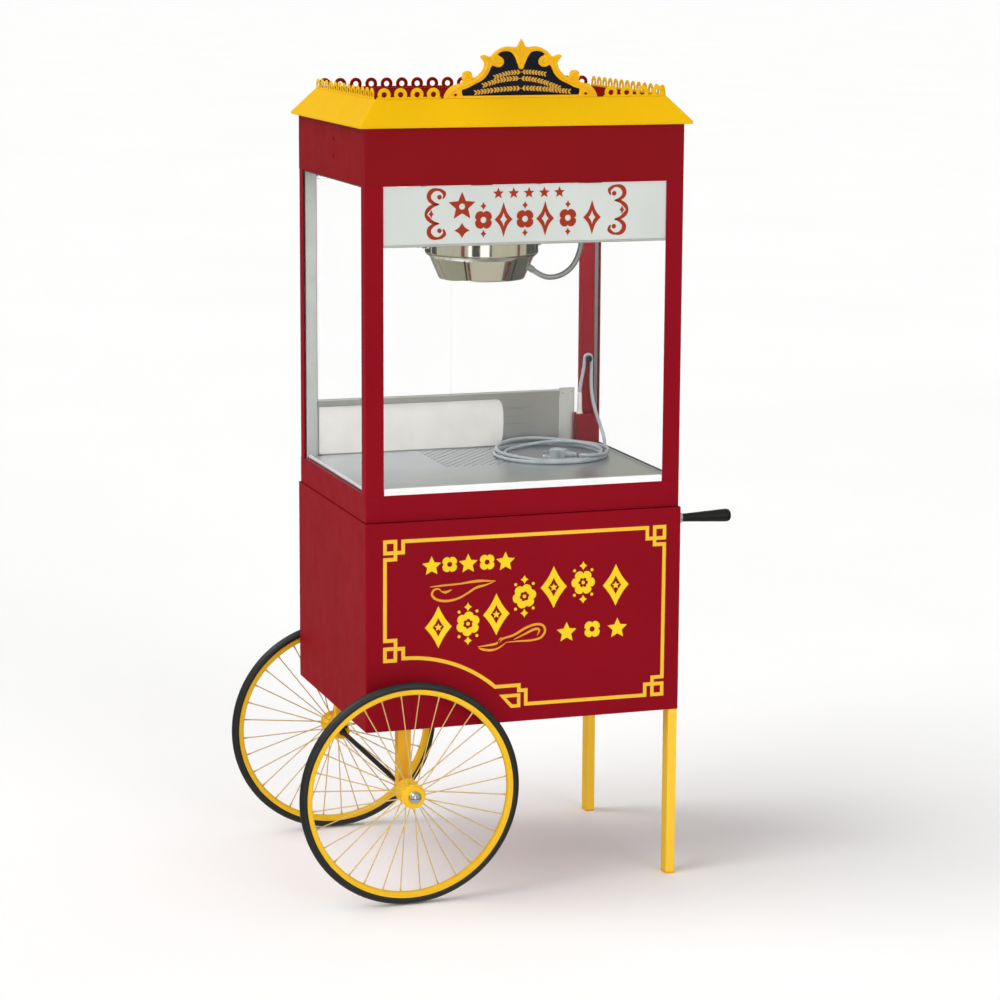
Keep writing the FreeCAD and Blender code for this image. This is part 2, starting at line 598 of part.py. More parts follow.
p0 = V(KX + 106, KY, 1334.5) + V(*LEAD_DIR) * 17.4
lead_route = [(p0.x, p0.y, p0.z), (132.5, KY, 1310.3), (157.5, KY, 1306.4),
              (184.5, KY, 1313.3), (206.5, KY, 1331), (220, KY, 1357),
              (226.8, KY, 1391), (228.2, KY, 1436), (226.6, KY, 1488),
              (LEAD_TOP[0], KY, CEIL_Z - 0.5)]
out("kettle_lead", tube(lead_route, 6.2, "kettle lead"))

# ---- lamp ------------------------------------------------------------------
lx, ly = -215.0, -70.0
holder = cyl(17, 20, (lx, ly, CEIL_Z - 20))
bulb = turned([(0, 1519), (11, 1519), (12.5, 1510), (20, 1497), (27, 1484),
               (29.5, 1472), (27, 1460), (20, 1450), (10, 1444.5), (0, 1443)],
              (lx, ly, 0))
out("cabinet_lamp", holder, bulb)

# ---- mains cord -------------------------------------------------------------
GX, GY = 303.2, 231.0
gland = turned([(CORD_D / 2 + 0.2, 955), (5.4, 955), (5.4, 963), (7.6, 963),
                (7.6, 966.5), (6.2, 968), (4.9, 1013), (CORD_D / 2 + 0.2, 1013)],
               (GX, GY, 0))
peg = turned([(0, 0), (4.3, 0), (4.3, 13.5), (7.4, 14), (7.4, 17), (6, 18.8),
              (0, 19.4)], (0, 0, 0), "y")
peg.rotate(V(0, 0, 0), V(0, 0, 1), 180)
peg.translate(V(323, 238, 1090.8))
out("cord_fittings", gland, peg)

cord_route = [(303.2, 231, 967), (303.3, 230.9, 991), (303.2, 230.9, 1015),
              (306.3, 230.7, 1038), (311.2, 230.6, 1060), (314.2, 231, 1079),
              (314.5, 231, 1096.2), (323, 231, 1101.1), (331.5, 231, 1096.2),
              (331.6, 230.8, 1079), (330.6, 229.4, 1056), (329.6, 226.5, 1029),
              (330.6, 220.5, 1000), (334.8, 210, 971), (339.4, 193.5, 944),
              (340.2, 170, 922.5), (334.6, 145, 907), (324, 122.5, 898.7),
              (309, 104, 898.0)]
out("power_cord", tube(cord_route, CORD_D / 2, "power cord"))

coil = turned([(COIL_RI + 3, 0), (COIL_RO - 3, 0), (COIL_RO, 3), (COIL_RO, 13),
               (COIL_RO - 6, COIL_H), (COIL_RI + 6, COIL_H), (COIL_RI, 13),
               (COIL_RI, 3)], (COIL_X, COIL_Y, FLOOR_Z + 0.2))
out("cord_coil", coil)

# plug: moulded body, tapered sleeve, two flat blades and a round earth pin
plug = fuse(box(0, 34, -15, 15, 0, 26),
            Part.makeCone(7.5, 4.6, 26, V(0, 0, 13), V(-1, 0, 0)),
            cyl(4.0, 20, (-24, 0, 13), (-1, 0, 0)))
pins = fuse(plug, box(33, 52, -7.2, -5.7, 10.5, 17), box(33, 52, 5.7, 7.2, 10.5, 17),
            cyl(2.4, 21, (33, 0, 6), (1, 0, 0)))
pins.rotate(V(0, 0, 0), V(0, 0, 1), 141)
pins.translate(V(196, 23, FLOOR_Z + 0.2))
out("power_plug", pins)
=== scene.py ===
import math

import bmesh
import bpy
from mathutils import Matrix, Vector


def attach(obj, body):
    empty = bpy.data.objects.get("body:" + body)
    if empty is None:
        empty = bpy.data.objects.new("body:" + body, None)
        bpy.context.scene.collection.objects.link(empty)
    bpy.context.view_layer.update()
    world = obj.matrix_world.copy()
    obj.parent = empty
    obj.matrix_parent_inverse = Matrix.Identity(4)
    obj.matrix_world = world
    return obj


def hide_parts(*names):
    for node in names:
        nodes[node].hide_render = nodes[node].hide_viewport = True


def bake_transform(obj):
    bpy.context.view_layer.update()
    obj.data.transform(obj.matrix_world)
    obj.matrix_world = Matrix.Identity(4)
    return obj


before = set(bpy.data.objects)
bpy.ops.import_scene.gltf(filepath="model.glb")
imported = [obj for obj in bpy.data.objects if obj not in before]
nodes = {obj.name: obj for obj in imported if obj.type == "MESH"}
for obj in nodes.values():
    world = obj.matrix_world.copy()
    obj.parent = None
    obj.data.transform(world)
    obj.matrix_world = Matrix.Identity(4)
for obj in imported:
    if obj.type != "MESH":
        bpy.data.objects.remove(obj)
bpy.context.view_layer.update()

# Lengths below are millimetres about the middle of the cart body; the machine's
# own frame has its origin 15 mm nearer to the wheels.
SHIFT = 15.0


def W(x, y, z):
    return Vector(((x + SHIFT) / 1000.0, y / 1000.0, z / 1000.0))


def rad(a):
    return math.radians(a)


# ---------------------------------------------------------------------------
# camera
# ---------------------------------------------------------------------------
def make_camera():
    az, pt, ro = rad(18.5007), rad(10.4785), rad(0.3076)
    fwd = Vector((math.sin(az) * math.cos(pt), math.cos(az) * math.cos(pt), -math.sin(pt)))
    right = Vector((math.cos(az), -math.sin(az), 0.0))
    up = right.cross(fwd)
    r2 = right * math.cos(ro) + up * math.sin(ro)
    u2 = up * math.cos(ro) - right * math.sin(ro)
    data = bpy.data.cameras.new("camera")
    data.lens, data.sensor_width = 109.981, 36.0
    data.clip_start, data.clip_end = 0.05, 2000.0
    cam = bpy.data.objects.new("camera", data)
    bpy.context.scene.collection.objects.link(cam)
    p = W(-2093.8625, -6355.718, 2053.4953)
    cam.matrix_world = Matrix(((r2.x, u2.x, -fwd.x, p.x), (r2.y, u2.y, -fwd.y, p.y),
                               (r2.z, u2.z, -fwd.z, p.z), (0, 0, 0, 1)))
    bpy.context.scene.camera = cam


make_camera()


# ---------------------------------------------------------------------------
# materials
# ---------------------------------------------------------------------------
def lin(h, k=1.0):
    c = [int(h[i:i + 2], 16) / 255.0 for i in (0, 2, 4)]
    return tuple(min(1.0, k * (v / 12.92 if v <= 0.04045 else ((v + 0.055) / 1.055) ** 2.4)) for v in c)


class Mat:
    def __init__(self, name):
        self.m = bpy.data.materials.new(name)
        self.m.use_nodes = True
        self.nt = self.m.node_tree
        self.nt.nodes.clear()
        self.out = self.node("ShaderNodeOutputMaterial")
        self.b = self.node("ShaderNodeBsdfPrincipled")
        self.link(self.b.outputs[0], self.out.inputs[0])
        self.tc = self.node("ShaderNodeTexCoord")
        self.normal = None

    def node(self, kind, **kw):
        n = self.nt.nodes.new(kind)
        for k, v in kw.items():
            setattr(n, k, v)
        return n

    def link(self, a, b):
        self.nt.links.new(a, b)

    def set(self, **kw):
        for k, v in kw.items():
            s = self.b.inputs[k.replace("_", " ")]
            s.default_value = (*v, 1.0) if isinstance(v, tuple) and len(v) == 3 else v
        return self

    def noise(self, scale, detail=3.0, stretch=None, rough=0.5, distortion=0.0):
        n = self.node("ShaderNodeTexNoise")
        n.inputs["Scale"].default_value = scale
        n.inputs["Detail"].default_value = detail
        n.inputs["Roughness"].default_value = rough
        n.inputs["Distortion"].default_value = distortion
        if stretch:
            mp = self.node("ShaderNodeMapping")
            mp.inputs["Scale"].default_value = stretch
            self.link(self.tc.outputs["Object"], mp.inputs["Vector"])
            self.link(mp.outputs[0], n.inputs["Vector"])
        else:
            self.link(self.tc.outputs["Object"], n.inputs["Vector"])
        return n.outputs["Fac"]

    def span(self, fac, a, b, lo=0.3, hi=0.7):
        n = self.node("ShaderNodeMapRange")
        n.inputs["From Min"].default_value = lo
        n.inputs["From Max"].default_value = hi
        n.inputs["To Min"].default_value = a
        n.inputs["To Max"].default_value = b
        self.link(fac, n.inputs["Value"])
        return n.outputs["Result"]

    def mix(self, fac, a, b):
        n = self.node("ShaderNodeMix", data_type="RGBA")
        if isinstance(fac, (int, float)):
            n.inputs[0].default_value = fac
        else:
            self.link(fac, n.inputs[0])
        for i, c in ((6, a), (7, b)):
            if isinstance(c, tuple):
                n.inputs[i].default_value = (*c, 1.0)
            else:
                self.link(c, n.inputs[i])
        return n.outputs[2]

    def times(self, a, b):
        n = self.node("ShaderNodeMath", operation="MULTIPLY")
        self.link(a, n.inputs[0])
        if isinstance(b, (int, float)):
            n.inputs[1].default_value = b
        else:
            self.link(b, n.inputs[1])
        return n.outputs[0]

    def edge(self):
        n = self.node("ShaderNodeAttribute", attribute_name="edge")
        return n.outputs["Fac"]

    def bump(self, height, strength, distance):
        n = self.node("ShaderNodeBump")
        n.inputs["Strength"].default_value = strength
        n.inputs["Distance"].default_value = distance
        self.link(height, n.inputs["Height"])
        if self.normal is not None:
            self.link(self.normal, n.inputs["Normal"])
        self.normal = n.outputs[0]

    def done(self, colour=None, rough=None):
        if colour is not None:
            self.link(colour, self.b.inputs["Base Color"])
        if rough is not None:
            self.link(rough, self.b.inputs["Roughness"])
        if self.normal is not None:
            self.link(self.normal, self.b.inputs["Normal"])
        return self.m


def paint(name, c, rough=0.34, coat=0.25, spec=0.3, peel=0.05, var=0.06, edge_wear_and_highlight=0.35, edge_highlight_gain=1.6):
    m = Mat(name)
    m.set(Specular_IOR_Level=spec, Coat_Weight=coat, Coat_Roughness=0.14, IOR=1.5)
    big = m.span(m.noise(4.0, 2.0), 0.0, 1.0)
    dark = tuple(v * (1 - var) for v in c)
    light = tuple(min(1.0, v * (1 + var)) for v in c)
    col = m.mix(big, dark, light)
    speck = m.span(m.noise(260.0, 2.0), 0.0, 0.16, 0.45, 0.75)
    col = m.mix(speck, col, tuple(v * 0.82 for v in c))
    # bevel edges lighter in broken patches: partly edge wear, partly a painted highlight along the edges
    worn_and_highlit_edges = m.times(m.edge(), m.span(m.noise(45.0, 4.0), 0.15, 1.0, 0.4, 0.65))
    col = m.mix(m.times(worn_and_highlit_edges, edge_wear_and_highlight), col, tuple(min(1.0, v * edge_highlight_gain + 0.015) for v in c))
    r = m.span(m.noise(18.0, 3.0), rough - 0.05, rough + 0.07)
    m.bump(m.noise(520.0, 2.0), peel, 0.0006)
    m.bump(m.noise(60.0, 2.0), peel * 0.5, 0.0008)
    return m.done(col, r)


def steel(name, c, rough=0.27, grain=(5.0, 900.0, 900.0), depth=0.06, var=0.10, smudge=0.05):
    m = Mat(name)
    m.set(Metallic=1.0, Specular_IOR_Level=0.5)
    lines = m.noise(1.0, 4.0, grain, 0.6)
    fine = m.span(lines, 0.0, 1.0, 0.3, 0.7)
    col = m.mix(fine, tuple(v * (1 - var) for v in c), tuple(min(1, v * (1 + var * 0.6)) for v in c))
    cloud = m.span(m.noise(9.0, 4.0, None, 0.6), 0.0, 1.0, 0.42, 0.72)
    col = m.mix(m.times(cloud, smudge * 3), col, tuple(v * 0.82 for v in c))
    a = m.node("ShaderNodeMath", operation="ADD")
    m.link(m.span(lines, rough - 0.06, rough + 0.08), a.inputs[0])
    m.link(m.span(m.noise(12.0, 3.0), 0.0, smudge), a.inputs[1])
    m.bump(lines, depth, 0.0004)
    return m.done(col, a.outputs[0])


def plastic(name, c, rough=0.45, grain=900.0, depth=0.08, spec=0.5, var=0.08, coat=0.0):
    m = Mat(name)
    m.set(Specular_IOR_Level=spec, Coat_Weight=coat, Coat_Roughness=0.1)
    col = m.mix(m.span(m.noise(22.0, 3.0), 0.0, 1.0), tuple(v * (1 - var) for v in c),
                tuple(min(1.0, v * (1 + var)) for v in c))
    # bevel edges lighter: a painted highlight along the edges
    col = m.mix(m.times(m.edge(), 0.35), col, tuple(min(1.0, v * 1.3 + 0.01) for v in c))
    r = m.span(m.noise(40.0, 3.0), rough - 0.06, rough + 0.08)
    m.bump(m.noise(grain, 2.0), depth, 0.0003)
    return m.done(col, r)


RED = (0.262, 0.0036, 0.0115)
red_paint = paint("red_powder_coat", RED, 0.36, 0.0, 0.03, 0.05, 0.05, 0.3, 1.4)
# darker copy of the red powder coat for the canopy: painted shade, as the light leaves the canopy darker than the cart
canopy_red_painted_shade = paint("red_powder_coat_canopy_painted_shade", (0.238, 0.0052, 0.0095), 0.36, 0.0, 0.03, 0.05, 0.05, 0.3, 1.4)
red_inner = paint("red_powder_coat_inside", (0.22, 0.004, 0.011), 0.46, 0.0, 0.03)
deck_red = paint("red_deck", (0.205, 0.0075, 0.0055), 0.6, 0.0, 0.0)
yellow_roof = paint("yellow_enamel_roof", (0.81, 0.465, 0.004), 0.36, 0.0, 0.03, 0.04, 0.04, 0.25, 1.15)
# lighter copy of the yellow enamel for the legs: painted light, lifting legs that stand in the cart's shadow
leg_yellow_painted_light = paint("yellow_enamel_legs_painted_light", (0.99, 0.59, 0.045), 0.36, 0.0, 0.08, 0.04, 0.05, 0.25, 1.12)
yellow_trim = paint("yellow_enamel_trim", (0.90, 0.53, 0.022), 0.36, 0.0, 0.08, 0.04, 0.05, 0.25, 1.12)
# darker, more orange copy of the yellow enamel: painted shade, for the axle brackets and leg caps
yellow_painted_shade = paint("yellow_enamel_painted_shade", (0.84, 0.43, 0.022), 0.4, 0.0, 0.12, 0.04, 0.05, 0.25, 1.12)
spoke_gold = paint("spoke_enamel", (0.64, 0.45, 0.17), 0.36, 0.0, 0.15, 0.04, 0.06, 0.25, 1.12)
print_yellow = paint("yellow_screen_print", (0.95, 0.645, 0.021), 0.5, 0.0, 0.05, 0.08, 0.05, 0.1, 1.1)
border_yellow = paint("golden_screen_print", (0.92, 0.54, 0.040), 0.5, 0.0, 0.05, 0.08, 0.05, 0.1, 1.1)
print_amber = paint("amber_screen_print", (0.80, 0.36, 0.030), 0.5, 0.0, 0.05, 0.08, 0.06, 0.1, 1.1)
print_red = paint("red_screen_print", (0.36, 0.035, 0.012), 0.5, 0.0, 0.08, 0.08, 0.08, 0.1, 1.1)
gilt = paint("gilt_enamel", (0.85, 0.455, 0.006), 0.30, 0.0, 0.10, 0.06, 0.10, 0.35, 1.15)
leaf_gold = paint("dull_gold_print", (0.64, 0.34, 0.040), 0.4, 0.0, 0.15, 0.06, 0.10, 0.2, 1.2)
black_enamel = paint("black_enamel", (0.006, 0.007, 0.015), 0.3, 0.0, 0.08, 0.04, 0.2, 0.3, 3.0)
floor_steel = steel("stainless_floor", (0.655, 0.69, 0.735), 0.30, (4.0, 900.0, 900.0))
stainless_x = steel("stainless_brushed_along", (0.66, 0.67, 0.67), 0.30, (4.0, 900.0, 900.0))
apron_steel = steel("stainless_apron", (0.47, 0.475, 0.47), 0.30, (4.0, 900.0, 900.0))
stainless_z = steel("stainless_brushed_upright", (0.80, 0.81, 0.82), 0.30, (900.0, 900.0, 4.0))
stainless_polished = steel("stainless_polished", (0.84, 0.81, 0.70), 0.09, (60.0, 60.0, 900.0), 0.006, 0.05, 0.015)
seam_painted_shadow = steel("seam_shadow", (0.10, 0.097, 0.082), 0.35, (200.0, 200.0, 200.0), 0.03, 0.1)
bright_steel = steel("bright_plated_steel", (0.72, 0.73, 0.74), 0.12, (300.0, 300.0, 300.0), 0.02, 0.05, 0.03)
aluminium = steel("aluminium_satin", (0.62, 0.63, 0.64), 0.34, (120.0, 120.0, 120.0), 0.06, 0.08)
conduit = steel("conduit_grey", (0.52, 0.53, 0.53), 0.34, (200.0, 200.0, 200.0), 0.05, 0.12)
rubber = plastic("tyre_rubber", (0.010, 0.0105, 0.0120), 0.36, 700.0, 0.16, 0.5, 0.25)
grip_rubber = plastic("grip_rubber", (0.005, 0.005, 0.0055), 0.34, 800.0, 0.12, 0.32, 0.2)
plastic_black = plastic("black_moulded_plastic", (0.010, 0.010, 0.0115), 0.4, 1100.0, 0.12, 0.3)
switch_plastic = plastic("switch_gloss_plastic", (0.012, 0.012, 0.013), 0.22, 1100.0, 0.04, 0.5, 0.1, 0.3)
plastic_white = plastic("white_satin_plastic", (0.92, 0.92, 0.91), 0.35, 800.0, 0.05, 0.3, 0.03)
cream_plate = plastic("cream_satin_plate", (0.90, 0.88, 0.84), 0.32, 500.0, 0.04, 0.3, 0.04)
grey_plastic = plastic("pale_grey_plastic", (0.60, 0.62, 0.63), 0.4, 900.0, 0.08, 0.4, 0.06)
jamb_alu = plastic("satin_jamb", (0.50, 0.52, 0.512), 0.32, 900.0, 0.05, 0.5, 0.05)
boot_plastic = plastic("off_white_vinyl", (0.84, 0.80, 0.775), 0.4, 900.0, 0.08, 0.4, 0.05)
duct_grey = paint("duct_edge_grey", (0.20, 0.150, 0.160), 0.4, 0.0, 0.2, 0.05, 0.08, 0.3, 1.3)
ceramic = plastic("white_porcelain", (0.78, 0.77, 0.72), 0.2, 300.0, 0.03, 0.5, 0.03, 0.4)
gasket = plastic("grey_gasket", (0.07, 0.075, 0.08), 0.5, 900.0, 0.2, 0.2)
axle_black = paint("axle_black", (0.010, 0.010, 0.012), 0.4, 0.0, 0.2, 0.05, 0.2, 0.4, 3.0)


def sign_plastic_make():
    m = Mat("sign_translucent_plastic")
    m.set(Specular_IOR_Level=0.35, Coat_Weight=0.1, Coat_Roughness=0.2)
    c = (0.625, 0.655, 0.62)
    col = m.mix(m.span(m.noise(5.0, 2.0), 0.0, 1.0), tuple(v * 0.95 for v in c), tuple(v * 1.04 for v in c))
    # bevel edges paler: a painted highlight along the edges
    col = m.mix(m.times(m.edge(), 0.5), col, (0.8, 0.83, 0.82))
    r = m.span(m.noise(30.0, 3.0), 0.32, 0.45)
    m.bump(m.noise(700.0, 2.0), 0.03, 0.0003)
    return m.done(col, r)


sign_plastic = sign_plastic_make()


def clear_make(name, tint, alpha, rough=0.04, edge_alpha=None):
    m = Mat(name)
    m.set(Specular_IOR_Level=0.5, IOR=1.5)
    col = m.mix(m.span(m.noise(6.0, 3.0), 0.0, 1.0), tint, tuple(v * 0.94 for v in tint))
    r = m.span(m.noise(14.0, 4.0), rough, rough + 0.08)
    a = m.span(m.noise(7.0, 4.0, None, 0.6), alpha * 0.8, alpha * 1.3)
    m.link(a, m.b.inputs["Alpha"])
    return m.done(col, r)


clear_pane = clear_make("clear_pane", (0.90, 0.93, 0.92), 0.014)
pane_edge = clear_make("clear_pane_edge", (0.70, 0.80, 0.77), 0.12, 0.15)
lamp_glass = clear_make("lamp_frosted_glass", (0.93, 0.92, 0.88), 0.75, 0.35)


def cord_make():
    m = Mat("cord_grey_vinyl")
    m.set(Specular_IOR_Level=0.5, Coat_Weight=0.6, Coat_Roughness=0.08)
    c = (0.40, 0.45, 0.475)
    col = m.mix(m.span(m.noise(30.0, 3.0), 0.0, 1.0), tuple(v * 0.86 for v in c), tuple(v * 1.12 for v in c))
    r = m.span(m.noise(60.0, 3.0), 0.26, 0.40)
    m.bump(m.noise(600.0, 2.0), 0.08, 0.0003)
    return m.done(col, r)


cord_vinyl = cord_make()


# ---------------------------------------------------------------------------
# mesh helpers
# ---------------------------------------------------------------------------
def circle(cx, cy, r, n=32, a0=0.0):
    return [(cx + r * math.cos(a0 + 2 * math.pi * i / n), cy + r * math.sin(a0 + 2 * math.pi * i / n))
            for i in range(n)]


def rrect(x0, x1, y0, y1, r, n=5):
    out = []
    for cx, cy, a in ((x1 - r, y1 - r, 0), (x0 + r, y1 - r, 90), (x0 + r, y0 + r, 180), (x1 - r, y0 + r, 270)):
        for i in range(n + 1):
            t = rad(a + 90.0 * i / n)
            out.append((cx + r * math.cos(t), cy + r * math.sin(t)))
    return out


def left_of(path, d):
    """The open path moved to its own left by d."""
    segs = []
    for (ax, ay), (bx, by) in zip(path, path[1:]):
        l = math.hypot(bx - ax, by - ay)
        nx, ny = -(by - ay) / l, (bx - ax) / l
        segs.append(((ax + nx * d, ay + ny * d), (bx + nx * d, by + ny * d)))
    out = [segs[0][0]]
    for (a, b), (c, e) in zip(segs, segs[1:]):
        r, s = (b[0] - a[0], b[1] - a[1]), (e[0] - c[0], e[1] - c[1])
        cr = r[0] * s[1] - r[1] * s[0]
        if abs(cr) < 1e-9:
            out.append(b)
            continue
        t = ((c[0] - a[0]) * s[1] - (c[1] - a[1]) * s[0]) / cr
        out.append((a[0] + r[0] * t, a[1] + r[1] * t))
    out.append(segs[-1][1])
    return out


def turn(a, b, c):
    return (b[0] - a[0]) * (c[1] - b[1]) - (b[1] - a[1]) * (c[0] - b[0])


def bent(path, radii, seg=5):
    """The open path with each inner corner turned into a bend."""
    out = [path[0]]
    for i in range(1, len(path) - 1):
        a, b, c = Vector(path[i - 1]), Vector(path[i]), Vector(path[i + 1])
        u, v = (a - b).normalized(), (c - b).normalized()
        ang = math.acos(max(-1, min(1, u.dot(v))))
        t = radii[i - 1] / math.tan(ang / 2)
        p, q = b + u * t, b + v * t
        centre = b + (u + v).normalized() * (radii[i - 1] / math.sin(ang / 2))
        a0 = math.atan2(p.y - centre.y, p.x - centre.x)
        a1 = math.atan2(q.y - centre.y, q.x - centre.x)
        da = (a1 - a0 + math.pi) % (2 * math.pi) - math.pi
        for k in range(seg + 1):
            t2 = a0 + da * k / seg
            out.append((centre.x + radii[i - 1] * math.cos(t2), centre.y + radii[i - 1] * math.sin(t2)))
    out.append(path[-1])
    return out


def fold(path, t, r, seg=5):
    """Outline of sheet metal of thickness t to the left of path, with bends."""
    ro, ri = [], []
    for i in range(1, len(path) - 1):
        if turn(path[i - 1], path[i], path[i + 1]) > 0:
            ro.append(r)
            ri.append(max(r - t, 0.3))
        else:
            ro.append(max(r - t, 0.3))
            ri.append(r)
    return bent(path, ro, seg) + bent(left_of(path, t), ri, seg)[::-1]


def smooth_line(pts, sub=5, closed=False):
    """Points along a soft line through pts."""
    n = len(pts)
    out = []
    for i in range(n if closed else n - 1):
        p = [pts[(i + k) % n] if closed else pts[min(max(i + k, 0), n - 1)] for k in (-1, 0, 1, 2)]
        for s in range(sub):
            t = s / sub
            out.append(tuple(0.5 * (2 * b + (c - a) * t + (2 * a - 5 * b + 4 * c - d) * t * t
                                    + (3 * b - a - 3 * c + d) * t ** 3)
                             for a, b, c, d in zip(*p)))
    if not closed:
        out.append(tuple(pts[-1]))
    return out


def strip(path, w):
    """Outline of a flat line of width w along an open path."""
    return left_of(path, w / 2) + left_of(path, -w / 2)[::-1]


def axis_matrix(axis):
    return {"z": Matrix.Identity(4), "y": Matrix.Rotation(rad(-90), 4, "X"), "-y": Matrix.Rotation(rad(90), 4, "X"),
            "x": Matrix.Rotation(rad(90), 4, "Y"), "-x": Matrix.Rotation(rad(-90), 4, "Y"),
            "-z": Matrix.Rotation(rad(180), 4, "X")}[axis]


class Piece:
    """One mesh put together from folded, turned, swept and cut shapes."""

    def __init__(self, name, *mats):
        self.name, self.mats = name, mats
        self.bm = bmesh.new()
        self.bm.verts.layers.float.new("edge")

    def take(self, b, mi, m=None, fix=True):
        if fix:
            bmesh.ops.recalc_face_normals(b, faces=b.faces)
        for f in b.faces:
            f.material_index = mi
        if m is not None:
            bmesh.ops.transform(b, matrix=m, verts=b.verts)
        tmp = bpy.data.meshes.new("tmp")
        b.to_mesh(tmp)
        b.free()
        self.bm.from_mesh(tmp)
        bpy.data.meshes.remove(tmp)
        return self

    @staticmethod
    def soften(b, edges, bev, seg):
        lay = b.verts.layers.float.get("edge") or b.verts.layers.float.new("edge")
        r = bmesh.ops.bevel(b, geom=edges, offset=bev / 1000.0, offset_type="OFFSET", segments=seg, profile=0.5,
                            affect="EDGES", clamp_overlap=True)
        made = set(r["faces"])
        for v in {v for f in made for v in f.verts}:
            if all(f in made for f in v.link_faces):
                v[lay] = 1.0

    def box(self, x0, x1, y0, y1, z0, z1, bev=0.6, seg=2, mi=0, m=None, taper=None):
        b = bmesh.new()
        b.verts.layers.float.new("edge")
        put = W if m is None else (lambda x, y, z: Vector((x, y, z)) / 1000.0)
        vs = [b.verts.new(put(x, y, z)) for x in (x0, x1) for y in (y0, y1) for z in (z0, z1)]
        if taper:
            taper(vs)
        for f in ((0, 1, 3, 2), (4, 6, 7, 5), (0, 4, 5, 1), (2, 3, 7, 6), (0, 2, 6, 4), (1, 5, 7, 3)):
            b.faces.new([vs[i] for i in f])
        if bev:
            self.soften(b, list(b.edges), bev, seg)
        return self.take(b, mi, m)

    def prism(self, outline, axis, d0, d1, mi=0, bev=0.0, seg=2, m=None):
        b = bmesh.new()
        b.verts.layers.float.new("edge")
        put = W if m is None else (lambda x, y, z: Vector((x, y, z)) / 1000.0)
        at = {"z": lambda a, c, d: put(a, c, d), "y": lambda a, c, d: put(a, d, c),
              "x": lambda a, c, d: put(d, a, c)}[axis]
        lo = [b.verts.new(at(a, c, d0)) for a, c in outline]
        hi = [b.verts.new(at(a, c, d1)) for a, c in outline]
        n = len(outline)
        caps = [b.faces.new(lo), b.faces.new(hi[::-1])]
        for i in range(n):
            b.faces.new((lo[i], hi[i], hi[(i + 1) % n], lo[(i + 1) % n]))
        bmesh.ops.recalc_face_normals(b, faces=b.faces)
        if bev:
            self.soften(b, [e for f in caps for e in f.edges], bev, seg)
        return self.take(b, mi, m)

    def lathe(self, prof, c=(0, 0, 0), axis="z", n=48, mi=0, loop=False, m=None, flat=None):
        b = bmesh.new()
        rings = []
        for r, h in prof:
            if r < 1e-6:
                rings.append([b.verts.new((0, 0, h / 1000.0))])
            else:
                rings.append([b.verts.new((r * math.cos(2 * math.pi * i / n) / 1000.0,
                                           r * math.sin(2 * math.pi * i / n) / 1000.0, h / 1000.0))
                              for i in range(n)])
        pairs = list(zip(rings, rings[1:])) + ([(rings[-1], rings[0])] if loop else [])
        for A, B in pairs:
            if len(A) == 1 and len(B) == 1:
                continue
            for i in range(n):
                j = (i + 1) % n
                q = [A[0]] if len(A) == 1 else [A[i], A[j]]
                q += [B[0]] if len(B) == 1 else [B[j], B[i]]
                b.faces.new(q)
        place = Matrix.Translation(W(*c)) if m is None else m @ Matrix.Translation(Vector(c) / 1000.0)
        if flat:
            bmesh.ops.transform(b, matrix=Matrix.Diagonal((*flat, 1.0)), verts=b.verts)
        return self.take(b, mi, place @ axis_matrix(axis))

    def tube(self, pts, r, n=12, mi=0, closed=False, raw=False, m=None, squeeze=None, at=None):
        """Round bar along pts. r is one radius or one for each point. squeeze flattens it along a direction."""
        P = [p.copy() for p in pts] if raw else [(W(*p) if m is None else Vector(p) / 1000.0) for p in pts]
        R = [x / 1000.0 for x in (r if isinstance(r, (list, tuple)) else [r] * len(P))]
        b = bmesh.new()
        k = len(P)
        T = []
        for i in range(k):
            a = P[(i - 1) % k] if closed else P[max(i - 1, 0)]
            c = P[(i + 1) % k] if closed else P[min(i + 1, k - 1)]
            T.append((c - a).normalized())
        ref = Vector((0, 0, 1)) if abs(T[0].z) < 0.9 else Vector((1, 0, 0))
        N = (ref - T[0] * ref.dot(T[0])).normalized()
        rings = []
        for i in range(k):
            N = (N - T[i] * N.dot(T[i])).normalized()
            B = T[i].cross(N)
            ring = []
            for j in range(n):
                t = 2 * math.pi * j / n
                o = N * math.cos(t) * R[i] + B * math.sin(t) * R[i]
                if squeeze is not None:
                    d = Vector(squeeze[0])
                    o = o + d * o.dot(d) * (squeeze[1] - 1.0)
                ring.append(b.verts.new(P[i] + o))
            rings.append(ring)
        for i in range(k if closed else k - 1):
            A, B2 = rings[i], rings[(i + 1) % k]
            for j in range(n):
                b.faces.new((A[j], A[(j + 1) % n], B2[(j + 1) % n], B2[j]))
        if not closed:
            b.faces.new(rings[0][::-1])
            b.faces.new(rings[-1])
        return self.take(b, mi, m)

